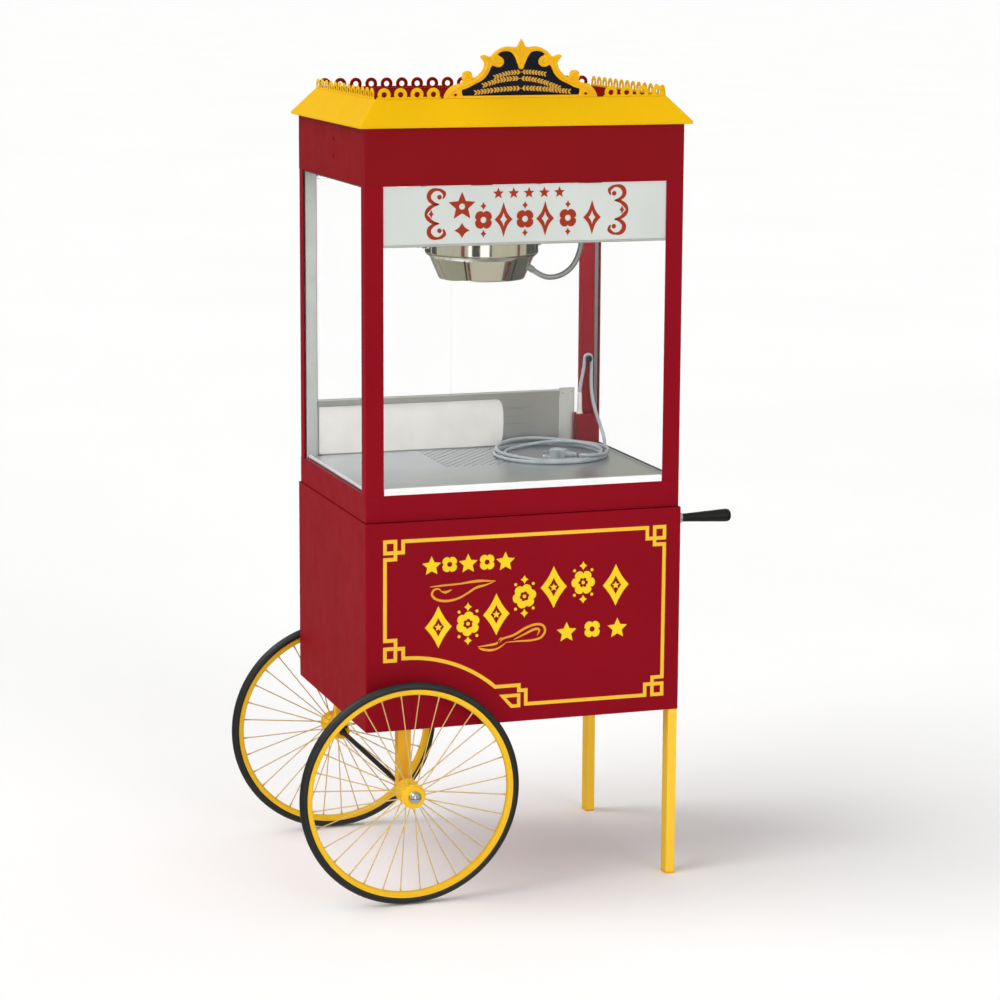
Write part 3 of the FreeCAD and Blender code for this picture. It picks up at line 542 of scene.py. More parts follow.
    def plate(self, loops, axis, d0, d1, mi=0, bev=0.0, res=1, inner=None):
        """Flat plate with holes: the first loop is its outline and the others are cut out of it."""
        cu = bpy.data.curves.new("tmp", "CURVE")
        cu.dimensions, cu.fill_mode = "2D", "BOTH"
        t = abs(d1 - d0)
        cu.extrude = max(t / 2 - bev, 0.0) / 1000.0
        cu.bevel_depth, cu.bevel_resolution, cu.offset = bev / 1000.0, res, -bev / 1000.0
        for lp in loops:
            sp = cu.splines.new("POLY")
            sp.points.add(len(lp) - 1)
            for p, (x, y) in zip(sp.points, lp):
                p.co = (x / 1000.0, y / 1000.0, 0.0, 1.0)
            sp.use_cyclic_u = True
        ob = bpy.data.objects.new("tmp", cu)
        bpy.context.scene.collection.objects.link(ob)
        dg = bpy.context.evaluated_depsgraph_get()
        me = bpy.data.meshes.new_from_object(ob.evaluated_get(dg))
        bpy.data.objects.remove(ob)
        bpy.data.curves.remove(cu)
        b = bmesh.new()
        b.from_mesh(me)
        bpy.data.meshes.remove(me)
        bmesh.ops.remove_doubles(b, verts=b.verts, dist=1e-6)
        mid = (d0 + d1) / 2000.0
        for v in b.verts:
            x, y, z = v.co
            v.co = {"z": (x + SHIFT / 1000.0, y, mid + z), "y": (x + SHIFT / 1000.0, mid + z, y),
                    "x": (mid + z + SHIFT / 1000.0, x, y)}[axis]
        bmesh.ops.recalc_face_normals(b, faces=b.faces)
        if b.calc_volume(signed=True) < 0:
            bmesh.ops.reverse_faces(b, faces=b.faces)
        self.take(b, mi, None, False)
        return self

    def screw(self, c, axis, r=4.0, h=1.8, mi=0):
        """Pan-head screw with a cross recess."""
        self.lathe([(0, -0.4), (r, -0.4), (r, h * 0.35), (r * 0.86, h * 0.75), (r * 0.5, h), (r * 0.34, h), (0, h * 0.45)],
                   c, axis, 20, mi)
        return self

    def done(self, body="frame", replaces=(), slot=None, angle=35, weighted=True, ride=True):
        me = bpy.data.meshes.new(self.name)
        self.bm.to_mesh(me)
        self.bm.free()
        for m in self.mats:
            me.materials.append(m)
        me.shade_smooth()
        me.set_sharp_from_angle(angle=rad(angle))
        ob = bpy.data.objects.new(self.name, me)
        bpy.context.scene.collection.objects.link(ob)
        if weighted:
            mod = ob.modifiers.new("normals", "WEIGHTED_NORMAL")
            mod.keep_sharp, mod.weight = True, 50
        if ride:
            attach(ob, body)
        if replaces:
            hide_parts(*replaces)
        return ob


def mx(outline):
    return [(-a, b) for a, b in outline][::-1]


def my(outline):
    return [(a, -b) for a, b in outline][::-1]


# ---------------------------------------------------------------------------
# cords
# ---------------------------------------------------------------------------
def nurbs(name, points, depth=0.0):
    cu = bpy.data.curves.new(name, "CURVE")
    cu.dimensions = "3D"
    sp = cu.splines.new("NURBS")
    sp.points.add(len(points) - 1)
    for p, c in zip(sp.points, points):
        w = W(*c)
        p.co = (w.x, w.y, w.z, 1.0)
    sp.order_u = 3
    sp.use_endpoint_u = True
    sp.resolution_u = 8
    cu.bevel_depth = depth / 1000.0
    cu.bevel_resolution = 5
    cu.use_fill_caps = True
    ob = bpy.data.objects.new(name, cu)
    bpy.context.scene.collection.objects.link(ob)
    return ob


def keyed(keys, t):
    """Value at t of soft steps between keys, which run downwards in t."""
    if t >= keys[0][0]:
        return keys[0][1]
    for (a, va), (b, vb) in zip(keys, keys[1:]):
        if t >= b:
            s = (a - t) / (a - b)
            return va + (vb - va) * s * s * (3 - 2 * s)
    return keys[-1][1]


CORD_D = 8.0
cord_route = [(303.2, 231, 967), (303.3, 230.9, 991), (303.2, 230.9, 1015), (306.3, 230.7, 1038), (311.2, 230.6, 1060),
              (314.2, 231, 1079), (314.5, 231, 1096.2), (323, 231, 1101.1), (331.5, 231, 1096.2), (331.6, 230.8, 1079),
              (330.6, 229.4, 1056), (329.6, 226.5, 1029), (330.6, 220.5, 1000), (334.8, 210, 971), (339.4, 193.5, 944),
              (340.2, 170, 922.5), (334.6, 145, 907), (324, 120.5, 898.9), (314.5, 89, 897.8)]
# the turns lie loose on the cabinet floor: one wide, one small inside it, and a
# last one on top of both, each about its own centre
r_keys = [(-20, 127.0), (-285, 129.5), (-355, 109.0), (-595, 107.5), (-662, 110.0), (-735, 120.0), (-772, 120.8), (-805, 118.2), (-835, 116.5),
          (-885, 117.2), (-1015, 124.0), (-1060, 129.0), (-1090, 134.5)]
z_keys = [(-20, 897.4), (-595, 897.4), (-662, 905.7), (-738, 905.7), (-780, 897.5), (-812, 897.5), (-880, 905.8), (-1050, 906.3), (-1100, 906.4)]
lift_keys = [(-640, 0.0), (-700, 1.0), (-980, 1.0), (-1040, 0.0)]
dx_keys = [(-20, 2.5), (-285, 2.5), (-355, 8.0), (-595, 8.0), (-662, 0.0), (-740, -3.0), (-1020, -3.0), (-1090, 0.0)]
dy_keys = [(-20, -3.0), (-285, -3.0), (-355, 2.5), (-595, 2.5), (-662, -1.0), (-740, -3.0), (-1020, -4.5), (-1090, 0.0)]
coil_points = []
for i in range(45):
    a = -22.0 - 24.2 * i
    if a < -1088:
        break
    r = keyed(r_keys, a) / 0.978
    coil_points.append((183.0 + keyed(dx_keys, a) + r * math.cos(rad(a)), 98.0 + keyed(dy_keys, a) + r * math.sin(rad(a)),
                        keyed(z_keys, a) + 8.5 * keyed(lift_keys, a) * max(0.0, math.sin(rad(a))) ** 1.5))
tail_points = [(303.5, 41.5, 906.3), (288.6, 11.1, 906.3), (273.4, -3.1, 906.2), (253.5, -9.2, 906.2), (233.0, -5.9, 906.2), (222.0, 1.9, 906.2)]
cord_points = cord_route + coil_points + tail_points
power_cord = nurbs("mains_cord", cord_points, CORD_D / 2)
power_cord.data.materials.append(cord_vinyl)
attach(power_cord, "frame")
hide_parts("power_cord", "cord_coil")

# plug, moulded on the cord's end
plug_m = Matrix.Translation(W(196, 23, 893.2)) @ Matrix.Rotation(rad(141), 4, "Z")
pl = Piece("mains_plug", cord_vinyl, bright_steel)


def plug_taper(vs):
    for v in vs:
        if v.co.x < 0.001:
            v.co.y *= 0.72
            v.co.z = 0.013 + (v.co.z - 0.013) * 0.78


pl.box(0, 34, -15, 15, 0, 26, 3.2, 4, 0, plug_m, plug_taper)
pl.box(30, 34.3, -14, 14, 1.0, 25, 1.2, 2, 0, plug_m)
for k in range(3):
    pl.box(8 + 5 * k, 10.4 + 5 * k, -14.6 + 0.1 * k, 14.6 - 0.1 * k, 3.2 - 0.3 * k, 22.8 + 0.3 * k, 0.8, 2, 0, plug_m)
sleeve = [(0, -26)]
for k in range(6):
    h = -26.0 + 4.2 * k
    r0 = 4.7 + 0.5 * k
    sleeve += [(r0, h), (r0 + 0.3, h + 2.6), (r0 - 0.5, h + 3.0), (r0 - 0.4, h + 3.9)]
sleeve += [(7.6, 0), (0, 1)]
pl.lathe(sleeve, (0, 0, 13), "x", 28, 0, False, plug_m)
pl.box(33, 52, -7.2, -5.7, 10.5, 17, 0.4, 1, 1, plug_m)
pl.box(33, 52, 5.7, 7.2, 10.5, 17, 0.4, 1, 1, plug_m)
pl.lathe([(0, 33), (2.4, 33), (2.4, 52), (1.6, 54), (0, 54)], (0, 0, 6), "x", 18, 1, False, plug_m)
mains_plug = pl.done("frame", ("power_plug",), "cord_grey", 40)

# strain relief and the peg that the cord hangs over
p = Piece("cord_gland_and_peg", plastic_black, boot_plastic)
boot = [(4.2, 955), (5.4, 955), (5.4, 963), (7.2, 963), (7.6, 963.6), (7.6, 966.2), (7.2, 967.0), (6.3, 967.6)]
for k in range(9):
    z0 = 969.0 + 4.6 * k
    r0 = 6.2 - 0.13 * k
    boot += [(r0, z0), (r0, z0 + 2.7), (r0 - 0.42, z0 + 3.0), (r0 - 0.42, z0 + 4.2)]
boot += [(5.0, 1011.4), (4.9, 1012.6), (4.6, 1013), (4.2, 1013)]
p.lathe(boot, (303.2, 231, 0), "z", 32, 1, True)
p.lathe([(0, 0), (6.0, 0), (6.0, 1.0), (4.9, 1.8), (4.3, 3.0), (4.3, 12.6), (4.7, 13.4), (6.6, 13.9), (7.2, 14.5), (7.4, 15.4),
         (7.3, 16.8), (6.6, 18.2), (4.8, 19.1), (0, 19.4)], (323, 238, 1090.8), "-y", 36)
p.done("frame", ("cord_fittings",), "plastic_black", 40)


def line_of(route, step):
    """Points of the route's own spline, about step apart."""
    ob = nurbs("tmp_line", route)
    ob.data.splines[0].resolution_u = 40
    dg = bpy.context.evaluated_depsgraph_get()
    dg.update()
    me = bpy.data.meshes.new_from_object(ob.evaluated_get(dg))
    pts = [v.co.copy() for v in me.vertices]
    cu = ob.data
    bpy.data.objects.remove(ob)
    bpy.data.curves.remove(cu)
    bpy.data.meshes.remove(me)
    out, left = [pts[0]], 0.0
    for a, b in zip(pts, pts[1:]):
        d = (b - a).length
        s = step - left
        while s <= d:
            out.append(a.lerp(b, s / d))
            s += step
        left = (left + d) % step if d else left
    out.append(pts[-1])
    return out


lead_route = [(112.25, 15, 1324.5), (132.5, 15, 1310.3), (157.5, 15, 1306.4), (184.5, 15, 1313.3), (206.5, 15, 1331),
              (220, 15, 1357), (226.8, 15, 1391), (228.2, 15, 1436), (226.6, 15, 1488), (224, 15, 1538.5)]
lead_line = line_of(lead_route, 0.0009)
ribs = [5.55 + 0.85 * (0.5 + 0.5 * math.cos(2 * math.pi * i / 5.0)) for i in range(len(lead_line))]
p = Piece("kettle_lead_conduit", conduit)
p.tube(lead_line, ribs, 20, 0, False, True)
lead = p.done("frame", ("kettle_lead",), "conduit_grey", 60, False, False)
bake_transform(lead)

# end fittings of the conduit
p = Piece("lead_fittings", aluminium)
p.lathe([(6.6, 1524), (9.5, 1524), (10.2, 1525), (10.2, 1532), (13, 1532.6), (13.4, 1533.4), (13.4, 1538.0), (6.6, 1538.0)],
        (224, 15, 0), "z", 24, 0, True)
p.done("frame", (), "aluminium", 35)


# ---------------------------------------------------------------------------
# cart body
# ---------------------------------------------------------------------------
p = Piece("cart_wrap", red_paint)
p.prism(fold([(-357.5, 273), (-357.5, -275), (357.5, -275), (357.5, 273)], 2.0, 4.0, 6), "z", 377.3, 830, 0, 0.7, 2)
p.done("frame", ("cart_front_panel", "cart_end_panels"), "red_paint", 30)

p = Piece("cart_rear_face", red_paint, red_inner)
p.plate([[(-357.5, 380), (357.5, 380), (357.5, 830), (-357.5, 830)], rrect(-320, 320, 505, 790, 2.0, 4)], "y", 273, 275, 0, 0.35)
for a, b, c, d in ((-322, -320.2, 503, 792), (320.2, 322, 503, 792), (-320, 320, 503.2, 505), (-320, 320, 790, 791.8)):
    p.box(a, b, 258, 273.2, c, d, 0.3, 1, 1)
p.done("frame", ("cart_rear_frame",), "red_paint", 30)


def hinge_set(p, hx, hy, z, knuckle_r, half, inner, zc, fixed, sx, mi):
    """Butt hinge knuckles about the pin at (hx, hy)."""
    if fixed:
        spans = ((zc - half, zc - inner - 0.3), (zc + inner + 0.3, zc + half))
    else:
        spans = ((zc - inner, zc + inner),)
    for a, b in spans:
        p.lathe([(2.05, a), (knuckle_r - 0.5, a), (knuckle_r, a + 0.5), (knuckle_r, b - 0.5), (knuckle_r - 0.5, b), (2.05, b)],
                (sx * hx, hy, 0), "z", 24, mi, True)
    if fixed:
        p.lathe([(0, zc - half - 1.0), (2.6, zc - half - 1.0), (2.9, zc - half), (2.0, zc - half), (2.0, zc + half),
                 (2.9, zc + half), (2.6, zc + half + 1.0), (0, zc + half + 1.4)], (sx * hx, hy, 0), "z", 20, mi)


knob_turning = [(0, 0), (6.2, 0), (6.4, 1.2), (5.2, 2.0), (4.9, 5), (5.2, 9.5), (7.0, 11.8), (10.5, 14.5), (12.8, 17.6), (13.5, 20.4),
                (12.6, 23), (9.5, 25), (5.5, 25.9), (0, 26.1)]

for sx, name in ((-1, "left"), (1, "right")):
    p = Piece("storage_door_" + name, red_paint, bright_steel, red_inner)
    x0, x1 = sorted((sx * 318.0, sx * 1.0))
    p.plate([rrect(x0, x1, 506, 789, 2.5, 4)], "y", 273, 275, 0, 0.5)
    # pressed panel and folded returns
    a, b = sorted((sx * 284.0, sx * 58.0))
    p.plate([rrect(a, b, 536, 759, 9, 6)], "y", 274.6, 276.4, 0, 0.8, 2)
    p.plate([rrect(a + 9, b - 9, 545, 750, 6, 6)], "y", 274.6, 277.2, 0, 0.8, 2)
    for c, d, e, f in ((x0 + 3, x0 + 4.6, 509, 786), (x1 - 4.6, x1 - 3, 509, 786), (x0 + 4, x1 - 4, 508, 509.6),
                       (x0 + 4, x1 - 4, 785.4, 787)):
        p.box(c, d, 262, 273.4, e, f, 0.3, 1, 2)
    p.lathe(knob_turning, (sx * 32, 275, 650), "y", 40, 1)
    for zc in (560.0, 735.0):
        a, b = sorted((sx * 315.0, sx * 296.0))
        p.box(a, b, 275, 276.5, zc - 30, zc + 30, 0.4, 2, 1)
        a, b = sorted((sx * 319.0, sx * 314.5))
        p.box(a, b, 275, 276.5, zc - 9.9, zc + 9.9, 0.2, 1, 1)
        hinge_set(p, 320.0, 279.0, 0, 4.0, 30, 10, zc, False, sx, 1)
        for dz in (-20, 20):
            p.screw((sx * 305.5, 276.5, zc + dz), "y", 3.2, 1.4, 1)
    p.done("storage_door_" + name, ("cart_door_" + name,), "red_paint", 32)

p = Piece("hinges_fixed", bright_steel)
for sx in (-1, 1):
    for zc in (560.0, 735.0):
        a, b = sorted((sx * 345.0, sx * 325.0))
        p.box(a, b, 275, 276.5, zc - 30, zc + 30, 0.4, 2)
        for c, d in ((zc - 30, zc - 10.3), (zc + 10.3, zc + 30)):
            a, b = sorted((sx * 325.5, sx * 321.0))
            p.box(a, b, 275, 276.5, c, d, 0.2, 1)
        hinge_set(p, 320.0, 279.0, 0, 4.0, 30, 10, zc, True, sx, 0)
        for dz in (-20, 20):
            p.screw((sx * 335.0, 276.5, zc + dz), "y", 3.2, 1.4)
    for zc in (905.0, 1525.0):
        a, b = sorted((sx * 345.0, sx * 322.0))
        p.box(a, b, 267, 268.5, zc - 10, zc + 10, 0.4, 2)
        for c, d in ((zc - 10, zc - 3.8), (zc + 3.8, zc + 10)):
            a, b = sorted((sx * 323.0, sx * 318.0))
            p.box(a, b, 267.6, 269.1, c, d, 0.2, 1)
        hinge_set(p, 317.0, 271.0, 0, 3.5, 10, 3.5, zc, True, sx, 0)
        for dx in (-5.5, 5.5):
            p.screw((sx * 334.0 + dx, 268.5, zc), "y", 3.0, 1.3)
p.done("frame", ("hinge_pins",), "bright_steel", 35)

# painted border and ornaments on the front
FRONT = -275.0
p = Piece("front_border", border_yellow)


def line(path, w=8.0, d0=FRONT - 0.35, d1=FRONT + 0.3, mi=0, piece=None):
    (piece or p).prism(strip(path, w), "y", d0, d1, mi)


def ring(x0, x1, z0, z1, w=8.0):
    p.plate([[(x0, z0), (x1, z0), (x1, z1), (x0, z1)],
             [(x0 + w, z0 + w), (x1 - w, z0 + w), (x1 - w, z1 - w), (x0 + w, z1 - w)]], "y", FRONT - 0.35, FRONT + 0.3)


ring(-319, -288, 762, 794.5)
ring(292, 323, 760, 792.5)
ring(291, 322, 410, 442)
ring(-319.5, -288.5, 528, 562)
# top line with its two hooks, right line, bottom line with the key, left line
line([(-288, 766), (-275, 766), (-275, 790), (279, 788), (279, 764), (292, 764)])
line([(296, 760), (296, 750), (319, 750), (318, 453), (295, 453), (295, 442)])
line([(-292, 762), (-292, 752), (-315, 752), (-315.5, 576), (-292, 576), (-292, 562)])
arc = [(-288.5, 557), (-275, 557), (-275, 535.5)]
for i in range(17):
    t = rad(90.0 - 41.7 * i / 16)
    arc.append((-271.5 + 305.9 * math.cos(t), 229.6 + 305.9 * math.sin(t)))
arc = arc[:3] + arc[4:]
line(arc + [(-14, 458.0), (-14, 446), (2, 446), (2, 415), (278, 414), (278, 438), (291, 438)])
tri_o = [(-59, 439.5), (-10.5, 439.5), (-10.5, 408.5), (-32, 408.5)]
tri_i = [(-43.5, 432), (-18, 432), (-18, 416), (-29, 416)]
p.plate([tri_o, tri_i], "y", FRONT - 0.35, FRONT + 0.3)
p.done("frame", (), "yellow_paint", 30, False)


def star(cx, cz, R, k=0.42, n=5, a0=90.0):
    return [(cx + (R if i % 2 == 0 else R * k) * math.cos(rad(a0 + 180.0 * i / n)),
             cz + (R if i % 2 == 0 else R * k) * math.sin(rad(a0 + 180.0 * i / n))) for i in range(2 * n)]


def lobes(cx, cz, R, n, depth, a0=0.0, count=72, sx=1.0):
    out = []
    for i in range(count):
        t = 2 * math.pi * i / count
        r = R * (1.0 - depth + depth * math.sqrt(abs(math.sin(n * t / 2.0 + rad(a0)))))
        out.append((cx + sx * r * math.cos(t), cz + r * math.sin(t)))
    return out


def lozenge(cx, cz, w, h, k=0.22):
    """Diamond with hollow sides."""
    out = []
    tips = [(w, 0), (0, h), (-w, 0), (0, -h)]
    for i in range(4):
        a, b = tips[i], tips[(i + 1) % 4]
        for s in range(8):
            t = s / 8.0
            q = 4 * t * (1 - t) * k
            x, y = a[0] + (b[0] - a[0]) * t, a[1] + (b[1] - a[1]) * t
            out.append((cx + x * (1 - q), cz + y * (1 - q)))
    return out


p = Piece("front_ornaments", print_yellow, print_amber)
D0, D1 = FRONT - 0.35, FRONT + 0.3


def stamp(loops, mi=0):
    p.plate(loops, "y", D0, D1, mi)


# upper row of five small figures
for i, (x, z) in enumerate(((-211.7, 733.7), (-171.5, 734.0), (-130.0, 734.2), (-87.5, 734.0), (-46.0, 733.9))):
    if i % 2 == 0:
        stamp([star(x, z - 1.5, 22.0, 0.48)])
    else:
        stamp([lobes(x, z, 18.5, 4, 0.34, 0.0), circle(x, z, 5.6, 20)])
# rising row of seven tall figures
big = [(-196.6, 598.6), (-130.1, 601.6), (-66.2, 618.2), (-2.6, 653.7), (64.1, 669.8), (131.7, 675.8), (207.0, 665.8)]
for i, (x, z) in enumerate(big):
    if i % 2 == 0:
        stamp([lozenge(x, z, 30, 46, 0.10), lozenge(x, z, 13, 21, 0.10)])
        stamp([star(x, z - 0.5, 9.0, 0.46)])
    else:
        stamp([lobes(x, z, 27.0, 6, 0.28, 18.0 * i), lobes(x, z, 11.0, 6, 0.34, 18.0 * i, 48)])
        stamp([circle(x, z, 4.0, 20)])
        for d in (-37.0, 37.0):
            stamp([lozenge(x, z + d, 9.0, 9.5)])
        for a, b in ((-20, 27), (20, 27), (-20, -27), (20, -27)):
            stamp([circle(x + a, z + b, 3.4, 18)])
# lower row of three
for i, (x, z) in enumerate(((94.5, 569.0), (153.5, 571.0), (211.8, 570.5))):
    if i == 1:
        stamp([lobes(x, z, 20.0, 4, 0.34, 0.0), circle(x, z, 6.0, 20)])
    else:
        stamp([star(x, z - 1.5, 23.5, 0.48)])


def vine(pts, widths, mi=1, sub=6):
    """Leaf line whose width swells and thins along it."""
    c = smooth_line(pts, sub)
    n = len(c)
    k = len(widths) - 1
    L, R = [], []
    for i in range(n):
        t = i / (n - 1) * k
        j = min(int(t), k - 1)
        w = (widths[j] + (widths[j + 1] - widths[j]) * (t - j)) / 2
        a, b = c[max(i - 1, 0)], c[min(i + 1, n - 1)]
        l = math.hypot(b[0] - a[0], b[1] - a[1]) or 1.0
        nx, ny = -(b[1] - a[1]) / l, (b[0] - a[0]) / l
        L.append((c[i][0] + nx * w, c[i][1] + ny * w))
        R.append((c[i][0] - nx * w, c[i][1] - ny * w))
    stamp([L + R[::-1]], mi)


vine([(-215, 687.5), (-186, 689), (-147.5, 690.5), (-108, 694), (-68, 691.5)], [1.4, 4.0, 3.6, 6.0, 1.2])
vine([(-72, 690.5), (-90, 684.5), (-111, 680), (-130, 669.5), (-151.5, 659), (-177, 654.6), (-199, 658.6), (-210.6, 669),
      (-207, 680), (-196, 682), (-190, 676)], [1.2, 5.4, 4.0, 5.2, 5.2, 4.0, 1.6])
vine([(-190, 676), (-180, 674), (-166, 679)], [1.6, 6.0, 1.2])
vine([(-107.5, 549.5), (-86, 551), (-65, 554), (-51, 563.5), (-26, 570), (0, 583.5), (22, 590), (39, 587.5), (45, 574.5),
      (35.5, 560.5), (13, 555.6), (-17, 555.6), (-43, 555)], [1.2, 5.0, 4.0, 5.4, 5.4, 5.0, 4.8, 4.0, 1.2])
vine([(-106, 547.5), (-97, 543), (-78, 540), (-61, 543.6), (-43, 555)], [1.2, 5.0, 5.0, 3.4, 1.2])
vine([(-26, 560), (0, 571), (22, 580), (32, 577), (27, 565.5)], [1.2, 4.2, 5.8, 4.6, 1.2])
vine([(-62, 553), (-58, 562), (-53, 566)], [1.2, 5.0, 1.2])
p.done("frame", (), "yellow_paint", 30, False)


# ---------------------------------------------------------------------------
# axle, brackets, wheels
# ---------------------------------------------------------------------------
WX, WZ = -268.0, 245.0
p = Piece("axle_bar", axle_black)
p.lathe([(0, -345), (7.2, -345), (8, -344), (8, -230.4), (7.6, -229.4), (5.9, -226.4), (5.5, -225.4), (5.5, 225.4), (5.9, 226.4), (7.6, 229.4),
         (8, 230.4), (8, 344), (7.2, 345), (0, 345)], (WX, 0, WZ), "y", 28)
p.done("frame", ("axle",), "black_enamel", 35)

p = Piece("axle_supports", yellow_painted_shade, bright_steel)
for s in (-1, 1):
    y0, y1 = sorted((s * 262.0, s * 237.0))
    p.prism(rrect(WX - 15, WX + 15, y0, y1, 3.0, 4), "z", WZ + 6, 377.5, 0)
    y0, y1 = sorted((s * 268.0, s * 231.0))
    p.prism(rrect(WX - 30, WX + 30, y0, y1, 5.0, 4), "z", 377, 380, 0, 0.6, 2)
    p.lathe([(8.05, -271.5), (16.5, -271.5), (18, -270), (18, -238.5), (16.5, -237), (8.05, -237)] if s < 0 else
            [(8.05, 237), (16.5, 237), (18, 238.5), (18, 270), (16.5, 271.5), (8.05, 271.5)], (WX, 0, WZ), "y", 40, 0, True)
    for dx in (-22.5, 22.5):
        p.lathe([(0, 373.4), (4.4, 373.4), (5.0, 374.2), (5.0, 377.2), (0, 377.2)], (WX + dx, s * 249.5, 0), "z", 6, 1)
p.done("frame", ("axle_brackets",), "yellow_paint", 35)

p = Piece("axle_cap_nuts", bright_steel)
for s in (-1, 1):
    p.lathe([(0, 7.4), (8.05, 7.4), (8.05, 0), (13.6, 0), (14.0, 0.5), (14.0, 1.6), (12.9, 2.0), (12.9, 5.6), (12.5, 7.4), (11.4, 9.4), (9.4, 11.2), (6.6, 12.8), (3.4, 13.7),
             (0, 14.0)], (WX, s * 338.0, WZ), "-y" if s < 0 else "y", 48)
p.done("frame", ("axle_nuts",), "bright_steel", 30)


def wheel(side, y):
    body = "wheel_" + side
    c = (WX, y, WZ)
    half = [(230.1, -8.4), (230.6, -9.1), (231.8, -9.9), (233.2, -10.4), (234.8, -10.6), (236.4, -10.5), (238.0, -10.1), (239.6, -9.4), (241.0, -8.5),
            (242.2, -7.3), (242.7, -6.6), (242.2, -6.2), (242.4, -5.7), (243.4, -5.3), (244.0, -4.2), (244.7, -2.6), (245, 0)]
    t = Piece("tyre_tread_" + side, rubber)
    t.lathe(half + [(r, -h) for r, h in half[-2::-1]], c, "y", 180, 0, True)
    t.done(body, ("tyre_" + side,), "rubber_black", 25, False)
    prof = [(217.9, -4.4), (218.3, -6.0), (219.3, -7.6), (220.8, -8.8), (222.6, -9.4), (224.0, -9.2), (225.6, -8.7), (227.2, -8.8), (228.6, -9.3), (229.5, -9.2),
            (229.8, -8.5), (229.8, 8.5), (229.5, 9.2), (228.6, 9.3), (227.2, 8.8), (225.6, 8.7), (224.0, 9.2), (222.6, 9.4), (220.8, 8.8), (219.3, 7.6),
            (218.3, 6.0), (217.9, 4.4), (217.6, 3.0), (217.6, -3.0)]
    t = Piece("rim_band_" + side, yellow_trim)
    t.lathe(prof, c, "y", 160, 0, True)
    t.done(body, ("rim_" + side,), "yellow_paint", 35, False)
    t = Piece("spoke_set_" + side, spoke_gold, yellow_trim)
    for i in range(32):
        a = 2 * math.pi * (i + 0.5) / 32 - (rad(1.6) if side == "rear" else 0.0)
        s = 1 if i % 2 else -1
        e = Vector((math.cos(a), 0, math.sin(a)))
        A = e * 27.0 + Vector((0, s * 24.2, 0))
        B = e * 217.5 + Vector((0, s * 3.0, 0))
        d = (B - A).normalized()
        base = Vector((WX, y, WZ))
        ps = [base + A - e * 3.4 + Vector((0, s * 0.5, 0)), base + A - e * 0.4, base + A + d * 2.0, base + A + d * 6, base + B - d * 9]
        t.tube([tuple(q) for q in ps], [1.4, 1.4, 1.4, 1.3, 1.3], 8, 0)
        n0 = base + B - d * 9.5
        t.tube([tuple(n0), tuple(n0 + d * 0.8), tuple(n0 + d * 6.0), tuple(n0 + d * 7.0), tuple(base + B)],
               [1.4, 1.65, 1.75, 2.2, 2.2], 10, 0)
    t.done(body, ("spokes_" + side,), "yellow_paint", 40, False)
    t = Piece("hub_shell_" + side, yellow_trim)
    t.lathe([(8.05, -32.5), (21.6, -32.5), (22.7, -32.0), (23.2, -31.0), (23.8, -27.4), (24.2, -26.4), (25.8, -26), (26.7, -25.5), (27, -24.6), (27, -22.8),
             (26.0, -21.8), (22, -20.2), (19.2, -18.4), (18.2, -16), (17.6, 0), (18.2, 16), (19.2, 18.4), (22, 20.2), (26.0, 21.8), (27, 22.8), (27, 24.6),
             (26.7, 25.5), (25.8, 26), (24.2, 26.4), (23.8, 27.4), (23.2, 31.0), (22.7, 32.0), (21.6, 32.5), (8.05, 32.5)], c, "y", 64, 0, True)
    t.done(body, ("hub_" + side,), "yellow_paint", 35, False)


wheel("front", -305.0)
wheel("rear", 305.0)

# ---------------------------------------------------------------------------
# legs and push handles
# ---------------------------------------------------------------------------
p = Piece("leg_tubes", leg_yellow_painted_light, bright_steel)
for s in (-1, 1):
    y0, y1 = sorted((s * 275.0, s * 242.0))
    p.prism(rrect(334.5, 355.4, y0, y1, 2.4, 4), "z", 4, 377.1, 0, 0.3, 1)
    y0, y1 = sorted((s * 272.8, s * 244.0))
    p.prism(rrect(336.5, 353.5, y0, y1, 2.0, 3), "z", 376.5, 380, 0)
p.done("frame", ("legs",), "yellow_paint", 30)
p = Piece("leg_caps", yellow_painted_shade)
for s in (-1, 1):
    y0, y1 = sorted((s * 275.0, s * 242.0))
    p.prism(rrect(334.5, 355.4, y0, y1, 2.6, 4), "z", 0, 3.9, 0, 0.9, 2)
p.done("frame", ("leg_feet",), None, 30)

p = Piece("push_grips", grip_rubber, bright_steel)
for s in (-1, 1):
    prof = [(0, 357.5), (13.2, 357.5), (13.8, 358.2), (13.8, 360.2), (13.0, 361.2), (9.4, 362.2), (8.7, 363.6), (8.9, 369)]
    for k in range(5):
        x0 = 380 + 7 * k
        prof += [(9.3 + 0.36 * k, x0), (9.0 + 0.36 * k, x0 + 0.8), (9.0 + 0.36 * k, x0 + 2.0), (9.45 + 0.36 * k, x0 + 2.8)]
    prof += [(11.6, 424), (12.9, 448), (13.8, 464), (14.1, 471), (13.9, 475.4), (12.6, 479.2), (9.8, 481.6), (6, 482.7), (0, 483)]
    p.lathe(prof, (0, s * 250.0, 801), "x", 40)
    p.lathe([(8.4, 361.6), (10.4, 361.6), (11.0, 362.2), (11.2, 363.4), (11.0, 367.4), (10.5, 368.2), (9.9, 368.6), (8.4, 368.6)],
            (0, s * 250.0, 801), "x", 40, 1, True)
p.done("frame", ("handle_grips",), "grip_black", 40)

